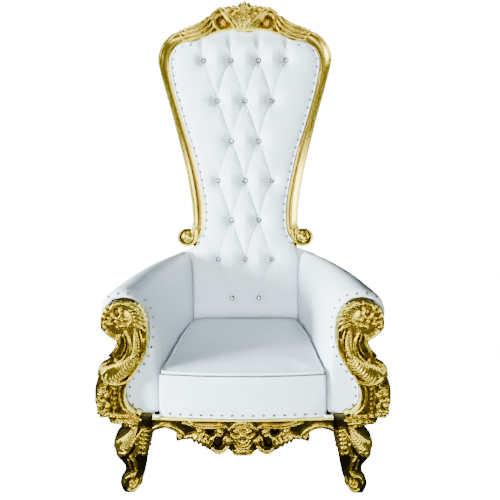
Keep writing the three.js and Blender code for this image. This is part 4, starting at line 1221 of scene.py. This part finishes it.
# %% Build the arms
ARM_FRONT_SECTION = [
    (285, 300.3), (284, 463), (285, 545), (294, 616), (310, 668), (338, 710), (378, 732), (422, 727),
    (455, 704), (472, 664), (466, 628), (430, 590), (403, 555), (416, 510), (450, 455), (466, 380),
    (462, 300.3),
]
ARM_BACK_SECTION = [
    (225, 300.3), (225, 463), (225, 560), (226, 640), (229, 700), (242, 731), (264, 738), (290, 727),
    (310, 706), (319, 676), (316, 638), (301, 604), (294, 572), (296, 520), (306, 455), (312, 380),
    (312, 300.3),
]
ARM_Y = (-371, 218)


def build_arm(name, sign):
    around, stations = 150, 60
    front, back = curve(ARM_FRONT_SECTION, around), curve(ARM_BACK_SECTION, around)
    y = np.r_[0, 0.5, 1.5, 3, 5, 8, 12, 17, 24, 33, np.linspace(42, ARM_Y[1] - ARM_Y[0], stations)]
    t = (y / (ARM_Y[1] - ARM_Y[0]))[:, None]
    x = front[:, 0] * (1 - t) + back[:, 0] * t
    z = front[:, 1] * (1 - t) + back[:, 1] * t
    outer = ease(np.arange(around) / around, 0.36, 0.5)
    belly = np.sin(np.pi * t) * ease(z, 480, 620)
    x = x + 20 * belly * outer + swelling(ARM_Y[0] + y)[:, None] * ease(-z, -640, -520) * (1 - outer)
    z = z + 11 * belly * np.exp(-(((np.arange(around) / around - 0.42) / 0.12) ** 2))
    # the front edge is rolled over, most on the upper part
    hub = 380 * (1 - t) + 275 * t
    radius = 34.0
    inset = radius - np.sqrt(np.clip(radius**2 - (radius - np.clip(y, 0, radius)) ** 2, 0, None))
    rolled = np.where(np.arange(around) < 0.38 * around, 0.3 + 0.7 * ease(z, 300, 470),
                      0.45 * ease(z, 540, 640))
    inset = inset[:, None] * rolled
    dx, dz = hub - x, 640 - z
    length = np.hypot(dx, dz)
    x, z = x + inset * dx / length, z + inset * dz / length
    depth = ARM_Y[0] + y[:, None] + (z - BACK_FOOT[2]) * math.tan(RAKE) * t
    rings = np.stack([sign * x, depth, z], -1) * MM
    return piece(name, *skin(rings), LEATHER)


ARMS = {}
for side, sign in (("left", 1), ("right", -1)):
    arm = build_arm(f"arm_{side}_upholstery", sign)
    arm = stuffed(arm, 3 * MM, lambda p: (p[:, 2] < 330) | (p[:, 1] > 170) | (p[:, 1] < -366))
    ARMS[sign] = pad(arm, 0.8, f"arm_pad_{side}")

# %% [markdown]
# ## Rails and rear legs
# The sides and the back are plainer work: moulded rails and sabre legs.

# %% Build rails and rear legs
def build_side_rail(name, sign):
    section = [(0, 0), (0, -4), (1, -8), (-1, -12), (-4, -16), (-2, -20),
               (1, -26), (3, -34), (3, -42), (0, -50),
               (-5, -57), (-9, -59), (-16, -60), (-32, -60), (-32, 0)]
    rings = []
    for t in np.linspace(0, 1, 24):
        x, y = 462 + (316 - 462) * t, -326 + (190 + 326) * t
        dip = 3 * math.sin(math.pi * t)
        rings.append([(sign * (x + across), y, RAIL_TOP + up * (1 - 0.04 * dip)) for across, up in section])
    return piece(name, *skin(np.array(rings) * MM), GILT, sharp=40)


REAR_LEG = [
    (299.7, 284, 222, 27, 30), (240, 284, 224, 27, 30), (200, 284, 232, 26, 28), (140, 286, 262, 23, 25),
    (80, 289, 308, 21, 23), (30, 292, 362, 21, 23), (0, 293, 396, 21, 24),
]


def build_rear_leg(name, sign):
    z, x, y, wide, deep = curve(REAR_LEG, 50).T
    turn = np.linspace(0, 2 * np.pi, 49)[:-1]
    square = ease(z, 205, 240)[:, None]
    power = 0.78 - 0.5 * square
    cx = np.sign(np.cos(turn)) * np.abs(np.cos(turn)) ** power
    cy = np.sign(np.sin(turn)) * np.abs(np.sin(turn)) ** power
    rings = np.stack([sign * (x[:, None] + wide[:, None] * cx), y[:, None] + deep[:, None] * cy,
                      np.repeat(np.clip(z, 0, 299.7)[:, None], 48, 1)], -1)
    return piece(name, *skin(rings * MM), GILT, sharp=35)


def build_back_rail():
    low, high = node_box("back_rail")
    section = [(0, 0), (0, -8), (-2, -14), (-1, -22), (0, -40),
               (-1, -50), (-5, -57), (-12, -60), (-40, -60), (-40, 0)]
    ends = []
    for x in np.linspace(low[0], high[0], 12):
        ends.append([(x, high[1] + across, high[2] + up) for across, up in section])
    return piece("back_rail_moulding", *skin(np.array(ends) * MM), GILT, sharp=40)


def build_deck():
    """The webbed deck, with its cover turned down at the edges."""
    low, high = node_box("seat_deck")
    front, rear = low[1], high[1]
    corners = [(300, front), (300, -322), (397, -322), (282, 180), (252, rear)]
    outline = np.array(corners + [(-x, y) for x, y in reversed(corners)], float)
    middle = outline.mean(axis=0)
    rings = []
    for z, inset in ((low[2], 0.985), (low[2] + 2, 1.0), (high[2] - 2, 1.0), (high[2], 0.985)):
        ring = middle + (outline - middle) * inset
        rings.append(np.column_stack([ring, np.full(len(ring), z)]))
    return piece("deck_cover", *skin(np.array(rings) * MM), DUST_CLOTH, sharp=30)


settle(build_back_rail(), "gilt_wood", "back_rail")
settle(build_deck(), "dark_cloth", "seat_deck")
for side, sign in (("left", 1), ("right", -1)):
    settle(build_side_rail(f"side_rail_{side}_moulding", sign), "gilt_wood", f"side_rail_{side}")
    settle(build_rear_leg(f"rear_leg_{side}_sabre", sign), "gilt_wood", f"rear_leg_{side}")

# %% [markdown]
# ## Nails, crystals, cords and a welt
# Small parts that repeat are placed by Geometry Nodes. A path carries a `facing` direction on each point,
# the nodes resample it by length and set one part on each place, turned to face that way. The result is
# taken as a plain mesh, so nothing is left live.

# %% Cords and landing on a surface
CORD_SIDES = 12


def tube(name, path, radius, material):
    """A round cord along points in metres."""
    run = np.gradient(path, axis=0)
    run /= np.linalg.norm(run, axis=1, keepdims=True)
    side = np.cross(run, (0, 0, 1))
    side /= np.linalg.norm(side, axis=1, keepdims=True)
    up = np.cross(side, run)
    turn = np.linspace(0, 2 * np.pi, CORD_SIDES + 1)[:-1]
    outward = np.cos(turn)[:, None] * side[:, None] + np.sin(turn)[:, None] * up[:, None]
    rings = path[:, None] + radius * outward
    return piece(name, *skin(rings), material)


def on_surface(made, points, toward):
    """Moves points along a direction onto a mesh."""
    tree = BVHTree.FromObject(made, bpy.context.evaluated_depsgraph_get())
    found = []
    for point, way in zip(points, toward):
        way = Vector(way).normalized()
        hit = tree.ray_cast(Vector(point) - way * 0.06, way, 0.12)[0]
        found.append(hit if hit is not None else Vector(point))
    return np.array(found)


# %% A node group that sets parts along a path
def geometry_group(name, inputs):
    tree = bpy.data.node_groups.new(name, "GeometryNodeTree")
    tree.interface.new_socket("Geometry", in_out="INPUT", socket_type="NodeSocketGeometry")
    names = {}
    for label, kind in inputs:
        names[label] = tree.interface.new_socket(label, in_out="INPUT", socket_type=kind).identifier
    tree.interface.new_socket("Geometry", in_out="OUTPUT", socket_type="NodeSocketGeometry")
    return tree, tree.nodes.new("NodeGroupInput"), tree.nodes.new("NodeGroupOutput"), names


def facing_turn(tree):
    facing = node(tree, "GeometryNodeInputNamedAttribute", {"Name": "facing"}, data_type="FLOAT_VECTOR")
    return node(tree, "FunctionNodeAlignRotationToVector", {"Vector": facing.outputs["Attribute"]}, axis="Z")


def make_nail_nodes():
    tree, start, end, names = geometry_group(
        "nail_row",
        [("Spacing", "NodeSocketFloat"), ("Radius", "NodeSocketFloat"), ("Material", "NodeSocketMaterial")])
    path = node(tree, "GeometryNodeMeshToCurve", {"Mesh": start.outputs["Geometry"]})
    even = node(tree, "GeometryNodeResampleCurve", {
        "Curve": path.outputs["Curve"], "Length": start.outputs["Spacing"]}, mode="LENGTH")
    head = node(tree, "GeometryNodeMeshUVSphere", {
        "Segments": 20, "Rings": 12, "Radius": start.outputs["Radius"]})
    flat = node(tree, "GeometryNodeTransform", {"Geometry": head.outputs["Mesh"], "Scale": (1, 1, 0.55)})
    round_head = node(tree, "GeometryNodeSetShadeSmooth", {"Geometry": flat.outputs["Geometry"]})
    set_on = node(tree, "GeometryNodeInstanceOnPoints", {
        "Points": even.outputs["Curve"], "Instance": round_head.outputs["Geometry"],
        "Rotation": facing_turn(tree).outputs["Rotation"]})
    real = node(tree, "GeometryNodeRealizeInstances", {"Geometry": set_on.outputs["Instances"]})
    coat = node(tree, "GeometryNodeSetMaterial", {
        "Geometry": real.outputs["Geometry"], "Material": start.outputs["Material"]})
    tree.links.new(coat.outputs["Geometry"], end.inputs["Geometry"])
    return tree, names


def grown(name, points, facing, nodes, names, joined=True, **inputs):
    """Runs a node group over a path or a set of points and keeps what it makes."""
    mesh = bpy.data.meshes.new(name)
    edges = [(k, k + 1) for k in range(len(points) - 1)] if joined else []
    mesh.from_pydata(np.asarray(points).tolist(), edges, [])
    layer = mesh.attributes.new("facing", "FLOAT_VECTOR", "POINT")
    layer.data.foreach_set("vector", np.asarray(facing, np.float32).ravel())
    made = placed(name, mesh)
    modifier = made.modifiers.new("set", "NODES")
    modifier.node_group = nodes
    for label, value in inputs.items():
        modifier[names[label]] = value
    made.data.update()
    graph = bpy.context.evaluated_depsgraph_get()
    result = bpy.data.meshes.new_from_object(made.evaluated_get(graph))
    made.modifiers.remove(modifier)
    made.data = result
    return made


# %% Set the nail rows
def turned(flat, place):
    """The outward direction of a face placed by upright or tilted."""
    here = place(flat[:, 0], flat[:, 1], flat[:, 2])
    return here, place(flat[:, 0], flat[:, 1] + 1, flat[:, 2]) - here


def beside(line, distance):
    """A line moved sideways, to the left of its run."""
    run = np.gradient(line, axis=0)
    run /= np.linalg.norm(run, axis=1, keepdims=True)
    return line + distance * np.column_stack([-run[:, 1], run[:, 0]])


def leather_under(line):
    """How far out the leather of the back stands along a line."""
    return pad_face(line[:, 0], line[:, 1], edge_of_pad(np.minimum(line[:, 1], PAD_CORNER[1])) + PAD_LAP)


NAIL_NODES, NAIL_NAMES = make_nail_nodes()
ARM_FACE, SEAT_FACE = 374.0, 390  # how far forward the leather is looked for
NAIL_ROWS = []
back_line = beside(curve(CREST_LOW[3:5] + STILE_INNER[1:], 160), -11.0)[6:]
back_out = leather_under(back_line)
arm_line = beside(curve([(430, 704), (408, 713)] + ARM_INNER, 120), -7.5)
seat_x = np.linspace(-300, 300, 90)
seat_bow = SEAT_BOW * (1 - (seat_x / SEAT_HALF[0]) ** 2)
for sign in (1, -1):
    here = back_line * (sign, 1)
    NAIL_ROWS.append((*turned(np.column_stack([here[:, 0], back_out + 1.0, here[:, 1]]), tilted), 34))
    here = arm_line * (sign, 1)
    points, facing = turned(np.column_stack([here[:, 0], np.full(len(here), ARM_FACE), here[:, 1]]), upright)
    NAIL_ROWS.append((on_surface(ARMS[sign], points, -facing), facing, 31))
points, facing = turned(np.column_stack([seat_x, SEAT_FACE + seat_bow, np.full(len(seat_x), 312.0)]), upright)
NAIL_ROWS.append((on_surface(seat, points, -facing), facing, 33))
rows = [
    grown(f"nails_{k}", points, facing, NAIL_NODES, NAIL_NAMES, Spacing=spacing * MM, Radius=5 * MM,
          Material=NAIL_BRASS)
    for k, (points, facing, spacing) in enumerate(NAIL_ROWS)
]
settle(join("upholstery_nails", rows), "gilt_wood")

# %% The trim cord between the leather and the gilding
def trim_line(points, facing, lift):
    return points + lift * MM * facing / np.linalg.norm(facing, axis=1, keepdims=True)


welts = []
for sign in (1, -1):
    line = beside(back_line, 7)
    out = leather_under(line)
    welts.append(tube("back_trim", tilted(line[:, 0] * sign, out + 2.5, line[:, 1]), 4 * MM, LEATHER))
    line = beside(arm_line, 6)
    flat = np.column_stack([line[:, 0] * sign, np.full(len(line), ARM_FACE), line[:, 1]])
    points, facing = turned(flat, upright)
    path = trim_line(on_surface(ARMS[sign], points, -facing), facing, 1.0)
    welts.append(tube("arm_trim", path, 3 * MM, LEATHER))
points, facing = turned(np.column_stack([seat_x, SEAT_FACE + seat_bow, np.full(len(seat_x), 304.5)]), upright)
welts.append(tube("seat_trim", trim_line(on_surface(seat, points, -facing), facing, 2.0), 4.5 * MM, LEATHER))
settle(join("upholstery_trim", welts), "white_leather")

# %% The crystal buttons
def make_crystal(name):
    """A foiled stone: mirror bright, with small patches of painted glint and painted dark reflection."""
    material, tree, surface = new_surface(name)
    place = node(tree, "ShaderNodeTexCoord").outputs["Object"]
    cells = node(tree, "ShaderNodeTexVoronoi", {"Vector": place, "Scale": 300.0})
    tone = node(tree, "ShaderNodeSeparateColor", {"Color": cells.outputs["Color"]})
    # painted glints: random bright and near black patches stand for the sparkle of the facets
    colour = ramp(tree, tone.outputs["Red"], [(0.38, (0.05, 0.06, 0.075)), (0.5, (0.95, 0.97, 1.0))])
    tree.links.new(colour, surface.inputs["Base Color"])
    surface.inputs["Roughness"].default_value = 0.06
    surface.inputs["Metallic"].default_value = 0.85
    surface.inputs["Coat Weight"].default_value = 1.0
    surface.inputs["Coat Roughness"].default_value = 0.02
    return material


def make_metal(name, colour, roughness):
    material, tree, surface = new_surface(name)
    place = node(tree, "ShaderNodeTexCoord").outputs["Object"]
    noise = node(tree, "ShaderNodeTexNoise", {"Vector": place, "Scale": 400.0})
    rough = node(tree, "ShaderNodeMapRange", {
        "Value": noise.outputs["Fac"], "To Min": roughness, "To Max": roughness + 0.12})
    tree.links.new(rough.outputs["Result"], surface.inputs["Roughness"])
    surface.inputs["Base Color"].default_value = (*colour, 1)
    surface.inputs["Metallic"].default_value = 1.0
    return material


CRYSTAL = make_crystal("crystal")
# painted shade: the cup metal is near black, so each button has a dark ring that stands for the shade round
# it
SHADE_DARK_CUP = make_metal("cup_darkened_as_shade", (0.1, 0.105, 0.12), 0.2)


def make_button_nodes():
    tree, start, end, names = geometry_group(
        "crystal_buttons",
        [("Radius", "NodeSocketFloat"), ("Crystal", "NodeSocketMaterial"), ("Cup", "NodeSocketMaterial")])
    radius = start.outputs["Radius"]

    def times(factor):
        return node(tree, "ShaderNodeMath", {0: radius, 1: factor}, operation="MULTIPLY").outputs[0]

    def cone(low, high, depth, rise, material, sides):
        made = node(tree, "GeometryNodeMeshCone", {
            "Vertices": sides, "Radius Top": times(high), "Radius Bottom": times(low), "Depth": times(depth)})
        lifted = node(tree, "ShaderNodeCombineXYZ", {"Z": times(rise)})
        moved = node(tree, "GeometryNodeTransform", {
            "Geometry": made.outputs["Mesh"], "Translation": lifted.outputs["Vector"]})
        return node(tree, "GeometryNodeSetMaterial", {
            "Geometry": moved.outputs["Geometry"], "Material": start.outputs[material]}).outputs["Geometry"]

    parts = node(tree, "GeometryNodeJoinGeometry")
    for shape in (
        cone(0.62, 1.0, 0.3, 0.0, "Cup", 28), cone(1.0, 0.7, 0.12, 0.3, "Cup", 28),
        cone(0.68, 0.68, 0.1, 0.34, "Crystal", 8), cone(0.68, 0.34, 0.28, 0.44, "Crystal", 8),
    ):
        tree.links.new(shape, parts.inputs["Geometry"])
    turn = facing_turn(tree)
    set_on = node(tree, "GeometryNodeInstanceOnPoints", {
        "Points": start.outputs["Geometry"], "Instance": parts.outputs["Geometry"],
        "Rotation": turn.outputs["Rotation"]})
    real = node(tree, "GeometryNodeRealizeInstances", {"Geometry": set_on.outputs["Instances"]})
    tree.links.new(real.outputs["Geometry"], end.inputs["Geometry"])
    return tree, names


BUTTON_NODES, BUTTON_NAMES = make_button_nodes()
button_at = np.array([(x, y) for x, y, _ in BUTTONS], float)
button_out = pad_face(button_at[:, 0], button_at[:, 1], edge_of_pad(button_at[:, 1]))
button_flat = np.column_stack([button_at[:, 0], button_out + 1.5, button_at[:, 1]])
at_buttons, button_facing = turned(button_flat, tilted)
buttons = grown("crystal_buttons", at_buttons, button_facing, BUTTON_NODES, BUTTON_NAMES, joined=False,
                Radius=11 * MM, Crystal=CRYSTAL, Cup=SHADE_DARK_CUP)
cad_buttons = [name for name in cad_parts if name.startswith("button_row")]
settle(buttons, "crystal", *cad_buttons)

# %% The welt round the seat and the dark cord under it, a painted shadow
WELT_POINTS = 70
SHADOW_DROP = 7.5 * MM
edge_points = seat_outline(SEAT_EDGE, 3, count=WELT_POINTS)
half_run = len(edge_points) - (WELT_POINTS - 1)
loop = np.vstack([edge_points[half_run:], edge_points[:half_run]])
loop = loop[loop[:, 1] < 150] * MM
middle = np.array([0, -0.1, 0.40])
inward = middle - loop
outward = -inward / np.linalg.norm(inward, axis=1, keepdims=True)
welt = on_surface(seat, loop, inward) + 1.0 * MM * outward
settle(tube("seat_welt", welt, 5 * MM, LEATHER), "white_leather")
# painted shadow: a dark cord just under the welt stands for the shadow the welt casts
lower = loop - [0, 0, SHADOW_DROP]
welt_shadow_line = on_surface(seat, lower, (middle - [0, 0, SHADOW_DROP]) - lower) + 0.6 * MM * outward
settle(tube("seat_welt_shadow", welt_shadow_line, 2.6 * MM, WELT_SHADOW_CLOTH), "dark_cloth")

# %% [markdown]
# ## Stage and light
# One white sheet is the floor and sweeps up to be the backdrop. The camera sees it, but it neither shows in
# reflections nor lights the throne. The leather and the gold are lit apart, which a real studio can't do: a
# key lamp on the far left and a weak one low in front light the leather and are hidden from reflections,
# and six cards show in reflections only.

# %% Stage
def white_sheet(name, section, glow):
    material, _, surface = new_surface(name)
    surface.inputs["Base Color"].default_value = (0.9, 0.9, 0.9, 1)
    surface.inputs["Roughness"].default_value = 1.0
    surface.inputs["Emission Color"].default_value = (1, 1, 1, 1)
    surface.inputs["Emission Strength"].default_value = glow
    mesh = bpy.data.meshes.new(name)
    points = [(x, y, z) for y, z in section for x in (-9, 9)]
    mesh.from_pydata(points, [], [(2 * k, 2 * k + 1, 2 * k + 3, 2 * k + 2) for k in range(len(section) - 1)])
    mesh.shade_smooth()
    mesh.materials.append(material)
    sheet = placed(name, mesh)
    sheet.visible_glossy = sheet.visible_diffuse = False


turn = np.linspace(0, np.pi / 2, 16)
bend = [(3 + 2 * math.sin(a), 2 - 2 * math.cos(a)) for a in turn[1:]]
sweep = [(y, -0.001) for y in (-6.0, 3.0)] + bend + [(5.0, 9.0)]
white_sheet("floor_and_backdrop", sweep, 16.0)


# %% Light
def soft_light(name, place, target, size, power, colour):
    data = bpy.data.lights.new(name, "AREA")
    data.shape = "RECTANGLE"
    data.size, data.size_y = size
    data.energy = power
    data.color = colour
    lamp = placed(name, data)
    lamp.location = place
    lamp.rotation_euler = (Vector(target) - Vector(place)).to_track_quat("-Z", "Y").to_euler()
    return lamp


# lamps for the leather, which the gold doesn't mirror
soft_light("key", (-3.6, -1.8, 1.15), (0, 0, 1.0), (1.1, 1.1), 1620, (0.68, 0.89, 1.0)).visible_glossy = False
soft_light("fill", (-0.5, -4.3, 0.6), (0, 0, 0.7), (1.0, 0.8), 350, (0.72, 0.91, 1.0)).visible_glossy = False
# cards that only shine in the gold and the sheen
for name, place, size, power in (
    ("left_card", (-2.9, -1.9, 1.6), (1.4, 1.9), 110), ("front_card", (-0.9, -4.4, 1.7), (1.4, 1.5), 50),
    ("right_card", (2.9, -1.3, 1.4), (0.45, 2.2), 34), ("low_card", (0.4, -3.4, 0.35), (3.0, 0.3), 34),
    ("top_card", (-0.3, -1.4, 3.9), (1.4, 0.9), 24), ("high_card", (0, -4.2, 4.1), (5.0, 1.6), 15),
):
    soft_light(name, place, (0, 0, 0.8), size, power, (1.0, 1.0, 0.5)).visible_diffuse = False
world = bpy.data.worlds.new("studio")
bpy.context.scene.world = world
world.use_nodes = True
world.node_tree.nodes["Background"].inputs["Color"].default_value = (0.52, 0.48, 0.4, 1)
world.node_tree.nodes["Background"].inputs["Strength"].default_value = 0.18
